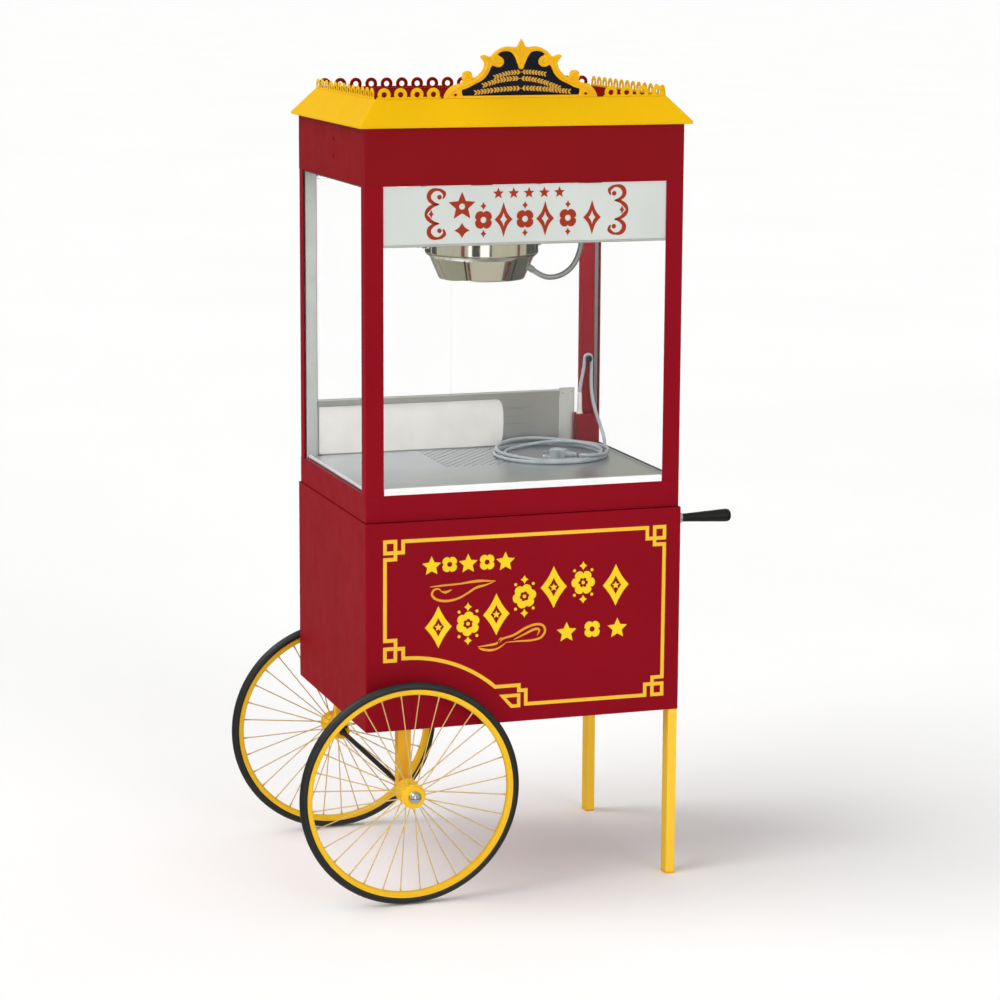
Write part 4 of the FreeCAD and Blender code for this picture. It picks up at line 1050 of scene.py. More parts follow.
# ---------------------------------------------------------------------------
# popper base, floor, drawer
# ---------------------------------------------------------------------------
p = Piece("base_band", red_paint, red_inner)
p.prism(fold([(-354.7, 265), (-354.7, -267), (354.7, -267), (354.7, 265)], 2.0, 3.6, 6), "z", 830.7, 888, 0, 0.8, 2)
p.prism([(-354.7, 830.7), (-150, 830.7), (-150, 876), (150, 876), (150, 830.7), (354.7, 830.7), (354.7, 888), (-354.7, 888)],
        "y", 265, 267, 0, 0.4, 1)
p.plate([rrect(-352.6, 352.6, -264.9, 264.9, 2, 3), rrect(-315, 315, -237, 237, 2, 3)], "z", 886, 888, 1, 0.2)
p.done("frame", ("popper_base",), "red_paint", 30)

nodes["floor_pan"].data.materials.clear()
nodes["floor_pan"].data.materials.append(floor_steel)

p = Piece("drawer_tray", stainless_x, stainless_z)
p.box(-145, 145, 0, 267.4, 830.3, 831.8, 0.2, 1)
p.box(-145, -143.5, 0, 267.4, 830.3, 872, 0.3, 1)
p.box(143.5, 145, 0, 267.4, 830.3, 872, 0.3, 1)
p.box(-145, 145, 0, 1.5, 830.3, 872, 0.3, 1)
p.box(-145, 145, 265.8, 267.4, 830.3, 872, 0.3, 1)
p.plate([rrect(-156, 156, 831, 882, 3, 5)], "y", 267.3, 269.4, 0, 0.5, 2)
p.box(-45, 45, 285, 290, 851, 861, 1.6, 3, 0)
for s in (-1, 1):
    a, b = sorted((s * 45.0, s * 39.0))
    p.box(a, b, 269.2, 285.6, 851, 861, 1.2, 3, 0)
    p.box(a - 2.5, b + 2.5, 269.2, 270.6, 847.5, 864.5, 0.5, 2, 0)
p.done("crumb_drawer", ("crumb_drawer",), "stainless", 35)

# ---------------------------------------------------------------------------
# corner posts, raceway, apron, jamb
# ---------------------------------------------------------------------------
p = Piece("corner_angles", red_paint)
lf = fold([(-354.7, -237), (-354.7, -267), (-315, -267)], 2.0, 3.6, 6)
for o in (lf, mx(lf), my(lf), mx(my(lf))):
    p.prism(o, "z", 888, 1539, 0, 0.25, 1)
p.done("frame", ("corner_posts",), "red_paint", 30)

p = Piece("wiring_duct", red_paint, bright_steel, duct_grey)
p.box(308, 348, 238, 258, 962, 1539, 1.6, 3)
p.box(296, 348, 220, 258, 893, 963, 1.8, 3)
p.box(310, 337, 236.9, 238.2, 968, 1533, 0.5, 2)
p.box(339.6, 348.2, 235.6, 238.2, 963.4, 1538.6, 0.6, 2, 2)
p.box(299.5, 344.5, 218.8, 220.2, 897, 959, 0.6, 2)
for x, z in ((304, 902), (340, 954), (340, 902)):
    p.screw((x, 218.8, z), "-y", 2.4, 1.0, 0)
for z in (985, 1240, 1500):
    p.screw((332, 236.9, z), "-y", 2.2, 1.0, 0)
p.done("frame", ("wiring_raceway",), "red_paint", 32)

p = Piece("rear_panel", apron_steel, stainless_z, bright_steel, cream_plate, jamb_alu)
p.prism(fold([(246, 888.2), (246, 1020), (237.5, 1020), (237.5, 1006)], 1.6, 2.6, 5), "x", -322.6, 256.6, 0)
p.tube([(-322.6, 240.2, 1017.8), (256.6, 240.2, 1017.8)], 3.0, 16, 1)
p.plate([rrect(257, 295.5, 888.2, 1023, 3, 4)], "y", 244, 246, 1, 0.4)
p.prism([(244.2, 1023), (240.5, 1022.2), (240.5, 1020.6), (244.2, 1021.4)], "x", 258, 294.5, 1, 0.2, 1)
p.prism([(259, 1000), (293, 1018), (293, 1020), (259, 1020)], "y", 243.0, 244.2, 1, 0.3, 1)
p.screw((288, 243.0, 1014), "-y", 2.4, 1.0, 2)
p.screw((266, 243.0, 1011), "-y", 2.4, 1.0, 2)
liner = [(-318, 895), (105, 895), (114, 900), (119, 912), (121, 935), (121.5, 955), (120, 980), (115, 996), (106, 1003), (-318, 1003)]
p.plate([[(-316, 895)] + smooth_line(liner[1:-1], 4) + [(-316, 1003), (-318, 1001), (-318, 897)]], "y", 242.6, 244.2, 3, 0.5, 2)
p.box(-348, -323, 238, 258, 888.2, 1539, 1.4, 3, 4)
p.box(-341.5, -329.5, 237.2, 238.4, 892, 1535, 0.5, 2, 4)
p.done("frame", ("rear_apron",), "stainless", 32)

# ---------------------------------------------------------------------------
# glazing, sign, sill
# ---------------------------------------------------------------------------
def pane(piece, x0, x1, y0, y1, z0, z1, thin):
    """Clear sheet with ground edges."""
    piece.box(x0, x1, y0, y1, z0, z1, 0.5, 2, 0)


p = Piece("glass_sheets", clear_pane, pane_edge)
pane(p, -346, 346, -264.8, -260.8, 902, 1414, "y")
pane(p, -352.4, -348.4, -258, 256, 888.2, 1538, "x")
pane(p, 348.4, 352.4, -258, 256, 888.2, 1538, "x")
for f in p.bm.faces:
    n = f.normal
    f.normal_update()
    n = f.normal
    c = f.calc_center_median()
    front = c.y < -0.2599 and abs(c.x - 0.015) < 0.3461
    ok = abs(n.y) > 0.99 if front and abs(c.x - 0.015) < 0.34599 else abs(n.x) > 0.99
    f.material_index = 0 if ok else 1
p.done("frame", ("glass_panes",), "clear_pane", 30)

p = Piece("pane_gaskets", gasket, aluminium, grey_plastic)
for s in (-1, 1):
    a, b = sorted((s * 344.2, s * 348.2))
    p.box(a, b, -257, 219, 893.2, 897.4 if s > 0 else 899.5, 1.0, 2, 0 if s > 0 else 2)
    p.box(a, b, -257, 256, 1534.5, 1538.8, 1.0, 2, 0)
p.box(-315, 315, -266.2, -259.6, 1411.6, 1416.2, 0.8, 2, 1)
p.done("frame", (), "plastic_black", 35)

p = Piece("sign_board", sign_plastic)
p.box(-345.9, 345.9, -264.8, -261.8, 1416.4, 1537.9, 0.5, 2)
p.done("frame", ("sign_panel",), "sign_plastic", 30)

SIGN = -264.8
p = Piece("sign_ornaments", print_red)


def sign_stamp(loops):
    p.plate(loops, "y", SIGN - 0.35, SIGN + 0.3)


def swell(pts, widths, put, sub=6):
    c = smooth_line(pts, sub)
    n, k = len(c), len(widths) - 1
    L, R = [], []
    for i in range(n):
        t = i / (n - 1) * k
        j = min(int(t), k - 1)
        w = (widths[j] + (widths[j + 1] - widths[j]) * (t - j)) / 2
        a, b = c[max(i - 1, 0)], c[min(i + 1, n - 1)]
        l = math.hypot(b[0] - a[0], b[1] - a[1]) or 1.0
        nx, ny = -(b[1] - a[1]) / l, (b[0] - a[0]) / l
        L.append((c[i][0] + nx * w, c[i][1] + ny * w))
        R.append((c[i][0] - nx * w, c[i][1] - ny * w))
    put([L + R[::-1]])


for s in (-1, 1):
    cx = -201.5 if s < 0 else 205.5

    def q(pts, s=s, cx=cx):
        return [(cx - s * x, z) for x, z in pts]

    swell(q([(17, 1512), (20, 1522), (10, 1530), (-4, 1530), (-13, 1522), (-13, 1511), (-4, 1503), (8, 1500)]),
          [3.0, 8.0, 5.0, 9.5, 9.5, 7.0, 2.0], sign_stamp)
    swell(q([(8, 1500), (-6, 1497), (-16, 1489), (-20.5, 1480), (-16, 1471), (-6, 1463), (8, 1460)]), [2.0, 7.0, 9.0, 6.0, 9.0, 7.0, 2.0],
          sign_stamp)
    swell(q([(8, 1460), (-4, 1457), (-13, 1449), (-13, 1438), (-4, 1430), (10, 1430), (20, 1438), (17, 1448)]),
          [2.0, 7.0, 9.5, 9.5, 5.0, 8.0, 3.0], sign_stamp)
    sign_stamp([circle(*q([(9, 1515)])[0], 5.0, 20)])
    sign_stamp([circle(*q([(9, 1445)])[0], 5.0, 20)])
    sign_stamp([lozenge(*q([(-9, 1480)])[0], 5.5, 9.5)])
for i, (x, hgt) in enumerate(((-142.9, 100), (-95.7, 74), (-51.2, 74), (-3.6, 74), (41.3, 74), (92.3, 74), (146.7, 74))):
    zc = 1428.4 + hgt / 2.0
    if i == 0:
        sign_stamp([star(x, zc + 16, 31.0, 0.46), circle(x, zc + 16, 6.5, 20)])
        sign_stamp([lozenge(x, zc - 34, 17, 16)])
    elif i % 2 == 1:
        sign_stamp([lobes(x, zc, 21.0, 4, 0.32, 0.0), circle(x, zc, 6.5, 20)])
        sign_stamp([lozenge(x, zc + 29, 6.5, 8.5)])
        sign_stamp([lozenge(x, zc - 29, 6.5, 8.5)])
    else:
        sign_stamp([lozenge(x, zc, 20, 37), lozenge(x, zc, 8, 15)])
for i in range(5):
    x = -63.0 + 34.0 * i
    sign_stamp([star(x, 1520.0, 12.5, 0.45)])
p.done("frame", (), "sign_plastic", 30, False)

p = Piece("front_sill", plastic_white)
p.prism([(-266.5, 888.1), (-266.5, 899.4), (-266.1, 901), (-265.0, 902), (-258.8, 902), (-257.6, 901.2), (-257, 899.4), (-257, 888.1)], "x",
        -314, 314, 0, 0.4, 1)
p.done("frame", ("glass_sill",), "plastic_white", 30)

# ---------------------------------------------------------------------------
# clear cabinet doors
# ---------------------------------------------------------------------------
cab_knob = [(0, 0), (6.2, 0), (6.4, 0.9), (4.6, 1.8), (4.0, 5), (4.4, 8.8), (7.0, 11.4), (10.4, 14.4), (11.9, 17.2), (11.9, 18.8), (10.2, 21.2),
            (6.4, 22.6), (0, 23)]
for sx, name in ((-1, "left"), (1, "right")):
    p = Piece("clear_door_" + name, clear_pane, pane_edge, bright_steel, plastic_black)
    x0, x1 = sorted((sx * 313.0, sx * 1.5))
    p.box(x0, x1, 260, 264, 891, 1535, 0.5, 2, 0)
    for f in p.bm.faces:
        f.normal_update()
        f.material_index = 0 if abs(f.normal.y) > 0.99 else 1
    p.lathe(cab_knob, (sx * 30, 264, 990), "y", 36, 3)
    p.lathe([(0, 0), (6.5, 0), (6.5, 1.2), (4.5, 2.2), (0, 2.4)], (sx * 30, 260, 990), "-y", 24, 2)
    for zc in (905.0, 1525.0):
        a, b = sorted((sx * 313.0, sx * 288.0))
        p.box(a, b, 264, 265.5, zc - 10, zc + 10, 0.4, 2, 2)
        a, b = sorted((sx * 313.0, sx * 311.5))
        p.box(a, b, 264, 272.5, zc - 3.4, zc + 3.4, 0.3, 1, 2)
        a, b = sorted((sx * 316.5, sx * 311.5))
        p.box(a, b, 270, 272.5, zc - 3.4, zc + 3.4, 0.3, 1, 2)
        hinge_set(p, 317.0, 271.0, 0, 3.5, 10, 3.5, zc, False, sx, 2)
        for dx in (-5.5, 5.5):
            p.screw((sx * 300.0 + dx, 265.5, zc), "y", 3.0, 1.3, 2)
            p.lathe([(0, 0), (4.0, 0), (4.0, 1.0), (3.0, 1.8), (0, 2.0)], (sx * 300.0 + dx, 260, zc), "-y", 18, 2)
    p.done("cabinet_door_" + name, ("door_" + name,), "clear_pane", 32)

# ---------------------------------------------------------------------------
# canopy, control panel, switches
# ---------------------------------------------------------------------------
p = Piece("canopy_wrap", canopy_red_painted_shade, red_inner)
p.prism(fold([(-354.7, 265), (-354.7, -267), (354.7, -267), (354.7, 265)], 2.0, 3.6, 6), "z", 1539, 1660, 0, 0.5, 2)
p.done("frame", ("canopy_shell",), "red_paint", 30)

p = Piece("canopy_side_screws", canopy_red_painted_shade)
for s in (-1, 1):
    for z in (1624.0, 1587.0):
        p.lathe([(0, -8), (2.0, -8), (2.0, 0), (4.6, 0), (4.6, 0.7), (4.0, 1.4), (2.6, 1.9), (1.6, 2.0), (0, 1.2)],
                (s * 354.7, -22, z), "x" if s > 0 else "-x", 24)
p.done("frame", ("canopy_screws",), "bright_steel", 35)

p = Piece("control_face", red_paint, plastic_black, plastic_white)
cuts = [rrect(x - 10.5, x + 10.5, 1585, 1615, 0.8, 3) for x in (-70, 0, 70)]
p.plate([[(-354.7, 1539), (354.7, 1539), (354.7, 1660), (-354.7, 1660)]] + cuts, "y", 265, 267, 0, 0.3)
for x in (-70, 0, 70):
    p.plate([rrect(x - 14.5, x + 14.5, 1580.5, 1619.5, 2.4, 4), rrect(x - 10.3, x + 10.3, 1585.2, 1614.8, 0.8, 3)],
            "y", 266.9, 269.0, 1, 0.7, 2)
# printed signs: a flame drop, a turning ring and a sun for heat, motor and light
drop = smooth_line([(0, 16), (5, 8), (7, 1), (4, -5), (0, -7), (-4, -5), (-7, 1), (-4, 8)], 4, True)
p.plate([[(-70 + a, 1637 + b * 0.7) for a, b in drop]], "y", 266.8, 267.4, 2)
p.plate([circle(0, 1638, 8.5, 36), circle(0, 1638, 6.2, 36)], "y", 266.8, 267.4, 2)
p.plate([star(0, 1638, 5.0, 0.35, 3)], "y", 266.8, 267.4, 2)
p.plate([star(70, 1638, 9.5, 0.62, 9), circle(70, 1638, 3.4, 24)], "y", 266.8, 267.4, 2)
p.done("frame", ("control_panel",), "red_paint", 30)

rocker = [(-6, -7), (1, -12.5), (6.2, -13.2), (7.0, -12.6), (5.6, -6), (4.8, 0), (5.6, 6), (7.0, 12.6), (6.2, 13.2), (1, 12.5), (-6, 7)]
for name, x in (("switch_heat", -70.0), ("switch_motor", 0.0), ("switch_light", 70.0)):
    p = Piece("rocker_" + name[7:], switch_plastic, plastic_white)
    m = Matrix.Translation(W(x, 264, 1600)) @ Matrix.Rotation(rad(-8), 4, "X")
    p.prism(rocker, "x", -9.5, 9.5, 0, 0.6, 2, m)
    # raised bar and ring, the usual marks for on and off
    p.box(-0.7, 0.7, 5.0, 6.3, 5.6, 10.0, 0.2, 1, 1, m)
    p.lathe([(1.5, 5.1), (2.3, 5.1), (2.3, 6.3), (1.5, 6.3)], (0, 0, -7.8), "y", 20, 1, True, m)
    p.done(name, (name,), "switch_plastic", 35)

nodes["canopy_ceiling"].data.materials.clear()
nodes["canopy_ceiling"].data.materials.append(stainless_x)
for n in ("cart_bottom_panel", "cart_deck"):
    nodes[n].data.materials.clear()
    nodes[n].data.materials.append(red_inner)
nodes["heating_element"].data.materials.clear()
nodes["heating_element"].data.materials.append(conduit)

# ---------------------------------------------------------------------------
# roof, gallery, crest
# ---------------------------------------------------------------------------
def rings_loft(piece, rings, mis, close_top=True, close_bottom=True):
    """Skin over outlines that have the same number of points. rings are (outline, z)."""
    b = bmesh.new()
    lv = [[b.verts.new(W(x, y, z)) for x, y in o] for o, z in rings]
    n = len(lv[0])
    fs = []
    for k, (A, B) in enumerate(zip(lv, lv[1:])):
        for i in range(n):
            fs.append((b.faces.new((A[i], A[(i + 1) % n], B[(i + 1) % n], B[i])), mis[k]))
    if close_bottom:
        fs.append((b.faces.new(lv[0][::-1]), mis[0]))
    if close_top:
        fs.append((b.faces.new(lv[-1]), mis[-1]))
    bmesh.ops.recalc_face_normals(b, faces=b.faces)
    for f, mi in fs:
        f.material_index = mi
    tmp = bpy.data.meshes.new("tmp")
    b.to_mesh(tmp)
    b.free()
    piece.bm.from_mesh(tmp)
    bpy.data.meshes.remove(tmp)


def sq(hx, hy, r):
    return rrect(-hx, hx, -hy, hy, r, 6)


EX, EY, TX, TY = 369.3, 281.6, 324.8, 237.1
p = Piece("roof_skin", yellow_roof, deck_red)
rings = [(sq(EX - 1.2, EY - 1.2, 4.0), 1660.0), (sq(EX - 0.3, EY - 0.3, 4.5), 1660.4), (sq(EX, EY, 5.0), 1661.4), (sq(EX, EY, 5.0), 1664.6),
         (sq(EX - 0.35, EY - 0.35, 5.0), 1665.8), (sq(EX - 1.1, EY - 1.1, 5.0), 1666.9), (sq(EX - 1.9, EY - 1.9, 5.0), 1668.0)]
N = 6
for i in range(1, N):
    t = i / N
    rings.append((sq(EX - 1.9 - (EX - 1.9 - TX - 1.6) * t, EY - 1.9 - (EY - 1.9 - TY - 1.6) * t, 5.0 - 1.0 * t),
                  1668.0 + (1715.6 - 1668.0) * t))
rings += [(sq(TX + 1.6, TY + 1.6, 4.0), 1715.6), (sq(TX + 0.9, TY + 0.9, 4.0), 1716.7), (sq(TX, TY, 4.0), 1717.3), (sq(TX - 1.0, TY - 1.0, 4.0), 1717.5),
          (sq(TX - 2.4, TY - 2.4, 3.0), 1717.5), (sq(TX - 3.0, TY - 3.0, 3.0), 1717.2)]
mis = [0] * (len(rings) - 2) + [1]
rings_loft(p, rings, mis)
p.done("frame", ("roof",), "yellow_paint", 32)

PITCH, RR, RH, RZ = 35.6, 13.9, 5.9, 1726.5


def gallery(n0, n1, count):
    mid = 0.5 * (n0 + n1)
    a = math.asin(5.0 / RR)
    out = [(n0, 1717.5), (n0, 1721.5)]
    holes = []
    for i in range(count):
        x = mid + (i - 0.5 * (count - 1)) * PITCH
        for k in range(23):
            t = math.pi + a - (math.pi + 2 * a) * k / 22
            out.append((x + RR * math.cos(t), RZ + RR * math.sin(t)))
        holes.append(circle(x, RZ, RH, 24))
    out += [(n1, 1721.5), (n1, 1717.5)]
    return [out] + holes


p = Piece("gallery_fence", yellow_roof, red_paint)
for loops, axis, d0, d1 in ((gallery(-320, -181, 4), "y", -237.0, -235.0), (gallery(181, 320, 4), "y", -237.0, -235.0),
                            (gallery(-322, 322, 18), "y", 235.0, 237.0), (gallery(-230, 230, 13), "x", -324.7, -322.7),
                            (gallery(-230, 230, 13), "x", 322.7, 324.7)):
    p.plate(loops, axis, d0, d1, 0, 0.35)
# only the rear row's inner face is red: partly two-tone paint, partly painted shade on that face; the side rows stay
# yellow inside
for f in p.bm.faces:
    ys = [v.co.y * 1000.0 for v in f.verts]
    if max(ys) < 235.1 and min(ys) > 234.9:
        f.material_index = 1
p.done("frame", ("gallery_rails",), "yellow_paint", 30, False)

CX = -4.0


def both(half):
    """Whole outline from its left half, which runs from the middle outwards."""
    return [(CX + x, z) for x, z in half] + [(CX - x, z) for x, z in half[::-1] if abs(x) > 1e-6]


p = Piece("crest_back", black_enamel, leaf_gold)
p.plate([both([(0, 1786), (-9, 1797), (-16, 1808), (-24, 1815), (-33, 1818), (-46, 1816), (-56, 1811), (-63, 1804), (-68, 1797), (-72, 1786),
               (-78, 1771), (-89, 1759), (-104, 1751), (-120, 1742.5), (-134, 1739.5), (-132, 1718.6)])], "y", -231.9, -229.9, 0, 0.3)
FY = -231.9


def leaf(x, z, a, l, w):
    """Pointed leaf from (x, z) along angle a."""
    c, s = math.cos(a), math.sin(a)
    out = [(0, 0), (0.22, 0.36), (0.5, 0.5), (0.78, 0.34), (1, 0), (0.78, -0.34), (0.5, -0.5), (0.22, -0.36)]
    out = smooth_line(out, 2, True)
    p.plate([[(CX + x + l * u * c - w * v * s, z + l * u * s + w * v * c) for u, v in out]], "y", FY - 0.8, FY + 0.4, 1, 0.2)


def laurel(pts, step, l, w):
    """Branch of small leaves in pairs along a line."""
    c = smooth_line(pts, 40)
    d = 0.0
    nxt = step * 0.5
    for (ax, az), (bx, bz) in zip(c, c[1:]):
        d += math.hypot(bx - ax, bz - az)
        if d >= nxt:
            nxt += step
            t = math.atan2(bz - az, bx - ax)
            if ax > 0:
                t += math.pi
            leaf(ax, az, t + rad(142), l, w)
            leaf(ax, az, t - rad(142), l, w)
    p.plate([strip([(CX + x, z) for x, z in c[::6]], 1.1)], "y", FY - 0.5, FY + 0.4, 1)


laurel([(-57, 1760.7), (-28, 1768.4), (0, 1770.8), (28, 1770), (51, 1766.6)], 6.6, 8.0, 3.6)
laurel([(-82, 1744), (-42, 1754.6), (0, 1757.6), (42, 1752), (84, 1737.6)], 6.9, 8.4, 3.8)
laurel([(-99, 1729), (-50, 1734.4), (0, 1737), (52, 1735), (106, 1729.6)], 7.2, 8.6, 3.9)
p.done("frame", ("crest_field",), "black_enamel", 30, False)

p = Piece("crest_scrollwork", gilt)
crest_out = [(0, 1840.8), (-2.6, 1836.4), (-5.5, 1831.8), (-7.2, 1827), (-9.5, 1823.9), (-14.5, 1823.0), (-21, 1823.4), (-28, 1824.2), (-35, 1823.9), (-46, 1820.8),
             (-57, 1814.8), (-63, 1808.6), (-67.5, 1803.8), (-71.5, 1803.6), (-76, 1805.4), (-80.5, 1807.2), (-85, 1807.2), (-89, 1805.2), (-90, 1802.6), (-86.8, 1798.2),
             (-82.6, 1793.6), (-80.9, 1787.8), (-83, 1780), (-89, 1771), (-96, 1764.2), (-101, 1761), (-104.5, 1760.4), (-107.4, 1762), (-108.2, 1765.4), (-108.6, 1769),
             (-111, 1772.4), (-115, 1774.2), (-120.5, 1774.4), (-125.6, 1772.8), (-129.6, 1769.4), (-130.2, 1766.6), (-128.2, 1764), (-130.4, 1761.4), (-131, 1758.8),
             (-128.6, 1755.6), (-129.6, 1752), (-131.6, 1749.2), (-140, 1747.2), (-150, 1744.8), (-158, 1739.6), (-164, 1733), (-168, 1726.4), (-170, 1721), (-170, 1717.5)]
crest_in = [(0, 1776.4), (-3.2, 1777.3), (-5.4, 1779.8), (-6.3, 1783), (-7.2, 1786.6), (-9, 1790), (-11.2, 1795.8), (-13.8, 1801.3), (-17, 1806.8), (-21, 1811.2), (-26.5, 1814),
            (-33, 1814.8), (-40, 1814.2), (-46, 1812.4), (-52, 1808.6), (-49.6, 1805.2), (-45, 1803), (-40.8, 1799.8), (-38.4, 1795.4), (-38.2, 1790.6), (-40.4, 1786), (-44.6, 1782.6),
            (-49.6, 1781.2), (-55, 1781.8), (-59.4, 1783.6), (-63, 1785.4), (-65.6, 1783.4), (-67.5, 1780), (-70.2, 1774), (-73.5, 1767.4), (-78.8, 1760.8), (-85.4, 1755), (-93, 1750.6),
            (-102, 1746.8), (-111, 1742.2), (-119, 1738.4), (-126, 1736.4), (-130.4, 1735), (-130.8, 1729), (-128.5, 1722.6)]
eyes = [[(CX + s * 144.5 + 3.6 * math.cos(rad(22.5 * k)), 1724.6 + 3.0 * math.sin(rad(22.5 * k))) for k in range(16)] for s in (-1, 1)]
p.plate([both(crest_out), both(crest_in)] + eyes, "y", -236.2, -231.8, 0, 1.1, 3)


def scroll(pts, widths, sub=7, y=-236.0, flat=0.9):
    """Raised rib on the plate."""
    for m in (1, -1):
        c = smooth_line([(CX + m * x, y, z) for x, z in pts], sub)
        n, k = len(c), len(widths) - 1
        r = []
        for i in range(n):
            t = i / (n - 1) * k
            j = min(int(t), k - 1)
            r.append(widths[j] + (widths[j + 1] - widths[j]) * (t - j))
        p.tube(c, r, 14, 0, False, False, None, ((0, 1, 0), flat))


def bead(x, z, r, y=-236.3):
    k = 9
    prof = [(r * math.cos(rad(-90 + 180.0 * i / k)), r * 0.5 * math.sin(rad(-90 + 180.0 * i / k))) for i in range(k + 1)]
    prof[0], prof[-1] = (0, prof[0][1]), (0, prof[-1][1])
    for m in ((1, -1) if x else (1,)):
        p.lathe(prof, (CX + m * x, y, z), "y", 24)


# arch that rolls into the upper volute
scroll([(-5, 1806), (-11.5, 1815), (-20, 1819), (-31, 1820), (-42, 1818), (-53, 1812.6), (-60.4, 1805), (-62.4, 1796), (-59, 1788.2), (-51, 1785), (-44.4, 1788),
        (-42.4, 1794), (-45.6, 1799), (-51, 1799.4)], [1.6, 2.6, 3.0, 3.0, 3.0, 3.0, 2.8, 2.6, 2.4, 2.0, 1.4])
bead(-50.6, 1793.0, 4.2)
# flank down to the foot
scroll([(-66, 1799), (-73, 1794), (-75.6, 1785), (-79.6, 1774.4), (-87, 1764.4), (-97, 1757), (-110, 1751), (-122, 1746.4), (-136, 1741.8), (-147, 1736.6), (-156, 1729.4),
        (-162, 1722.4)], [1.6, 2.8, 3.2, 3.2, 3.2, 3.2, 3.0, 2.8, 1.8])
scroll([(-70, 1784), (-74, 1773), (-81, 1763), (-91, 1755), (-105, 1748.4), (-118, 1742.6)], [0.7, 1.3, 1.3, 1.3, 1.3, 0.7])
# leaf ears
scroll([(-69, 1799.6), (-75.4, 1801.6), (-82, 1803.6), (-86.4, 1802.4)], [1.6, 2.7, 2.9, 1.4])
scroll([(-105, 1754.6), (-110, 1760.4), (-114.4, 1767.4), (-120.4, 1770), (-126, 1768.6)], [1.6, 2.8, 3.0, 2.8, 1.2])
scroll([(-113, 1755.4), (-118, 1761), (-124.6, 1763.4)], [1.0, 2.2, 1.0])
scroll([(-118, 1752.6), (-123, 1756.6), (-127.6, 1757.6)], [0.9, 1.8, 0.9])
# small volute and eye at the foot
scroll([(-139, 1738.4), (-135.6, 1731), (-137.4, 1723.6), (-144, 1719.8), (-150.6, 1722.6), (-151.4, 1728.2)], [0.9, 2.0, 2.2, 2.2, 2.0, 1.0])
# pendant, its bead, and the leaf at the top
scroll([(-2.6, 1833), (-4.8, 1826), (-6.6, 1817), (-5.4, 1806), (-3.4, 1796), (-2.4, 1789)], [0.7, 1.7, 2.4, 2.2, 1.6, 1.0])
p.tube([(CX, -235.8, z) for z in (1838.5, 1834, 1828, 1820, 1810, 1800, 1791)], [0.5, 1.5, 2.2, 2.6, 2.4, 1.8, 1.0], 14, 0, False, False, None, ((0, 1, 0), 0.7))
bead(0, 1783.2, 5.6)
# foot rail
p.box(CX - 168.5, CX + 168.5, -237.2, -230.2, 1717.5, 1721.6, 1.0, 3)
p.done("frame", ("crest_frame",), "gilt", 50, False)

# ---------------------------------------------------------------------------
# kettle
# ---------------------------------------------------------------------------
KX, KY, TZ = -8.0, 15.0, 1392.0
KR = 125.0
p = Piece("kettle_jacket", stainless_polished, conduit, seam_painted_shadow)
p.lathe([(0, 1311), (58, 1311), (59, 1311.5), (60, 1312.0), (82, 1312.0), (88, 1311.3), (91.6, 1311.2), (93.8, 1311.8), (95.2, 1313.6), (95.8, 1315.0),
         (104.8, 1335.9), (113.5, 1355.8), (114.2, 1357.4), (115.2, 1359.0), (121.4, 1364.4), (122.2, 1365.4), (122.2, 1366.0), (119.6, 1366.0), (113.2, 1360.0),
         (112.2, 1358.2), (93.4, 1315.4), (91.4, 1314.0), (86, 1313.6), (0, 1313.6)], (KX, KY, 0), "z", 144)
noz = Matrix.Translation(W(KX + 98, KY, 1340.1)) @ Vector((0, 0, 1)).rotation_difference(Vector((0.819, 0, -0.574))).to_matrix().to_4x4()
p.lathe([(0, 0), (9.6, 0), (9.6, 11.0), (8.0, 12.4), (7.4, 18.6), (7.8, 19.2), (7.8, 25.6), (7.2, 26.7), (6.4, 26.7), (0, 25.6)], (0, 0, 0), "z", 28, 1,
        False, noz)
# riveted lap seams down the jacket, drawn as dark lines: partly the seam, partly painted shadow in its gap
for a in (-127.0, -66.5, 56.0, 152.0):
    c, s = math.cos(rad(a)), math.sin(rad(a))
    p.tube([(KX + r * c, KY + r * s, z) for r, z in ((95.6, 1315.0), (99.9, 1324.5), (105.2, 1336.4), (110.2, 1348.0), (114.0, 1357.0))], 2.2, 10, 2, False, False,
           None, None)
p.done("kettle", ("kettle_drum",), "aluminium", 30, False)

p = Piece("kettle_bowl", stainless_polished, bright_steel)
p.lathe([(0, 1366.2), (118, 1366.2), (122.4, 1366.6), (124.2, 1367.6), (125.0, 1369.4), (125.0, 1370.8), (125.0, 1400), (125.0, 1433.2), (125.0, 1434.6), (125.6, 1436.2), (127.2, 1437.0), (128.4, 1437.5),
         (129.1, 1438.6), (128.5, 1439.7), (127.0, 1440.0), (124.2, 1439.6), (123.5, 1438.4), (123.5, 1376), (122.2, 1372.6), (118.5, 1371.1), (0, 1371.0)],
        (KX, KY, 0), "z", 144)
# bead rolled into the wall
p.lathe([(124.6, 1427.0), (126.0, 1428.0), (126.6, 1429.6), (126.0, 1431.2), (124.6, 1432.2)], (KX, KY, 0), "z", 144, 0, True)
for s, axis in ((1, "x"), (-1, "-x")):
    p.lathe([(0, 123.0), (13.0, 123.0), (14, 124.4), (14, 129.6), (13.2, 130.6), (7.4, 131.0), (6, 131.4), (6, 141.2 if s > 0 else 149.4),
             (5.2, 142.0 if s > 0 else 150.2), (0, 142.0 if s > 0 else 150.2)], (KX, KY, TZ), axis, 36, 1)
    for k in range(4):
        t = rad(45 + 90 * k)
        p.lathe([(0, 123.0), (2.6, 123.0), (2.6, 130.7), (1.6, 131.2), (0, 131.2)], (KX, KY + 10.4 * math.cos(t), TZ + 10.4 * math.sin(t)), axis, 6, 1)
p.done("kettle", ("kettle_pan",), "stainless", 30, False)

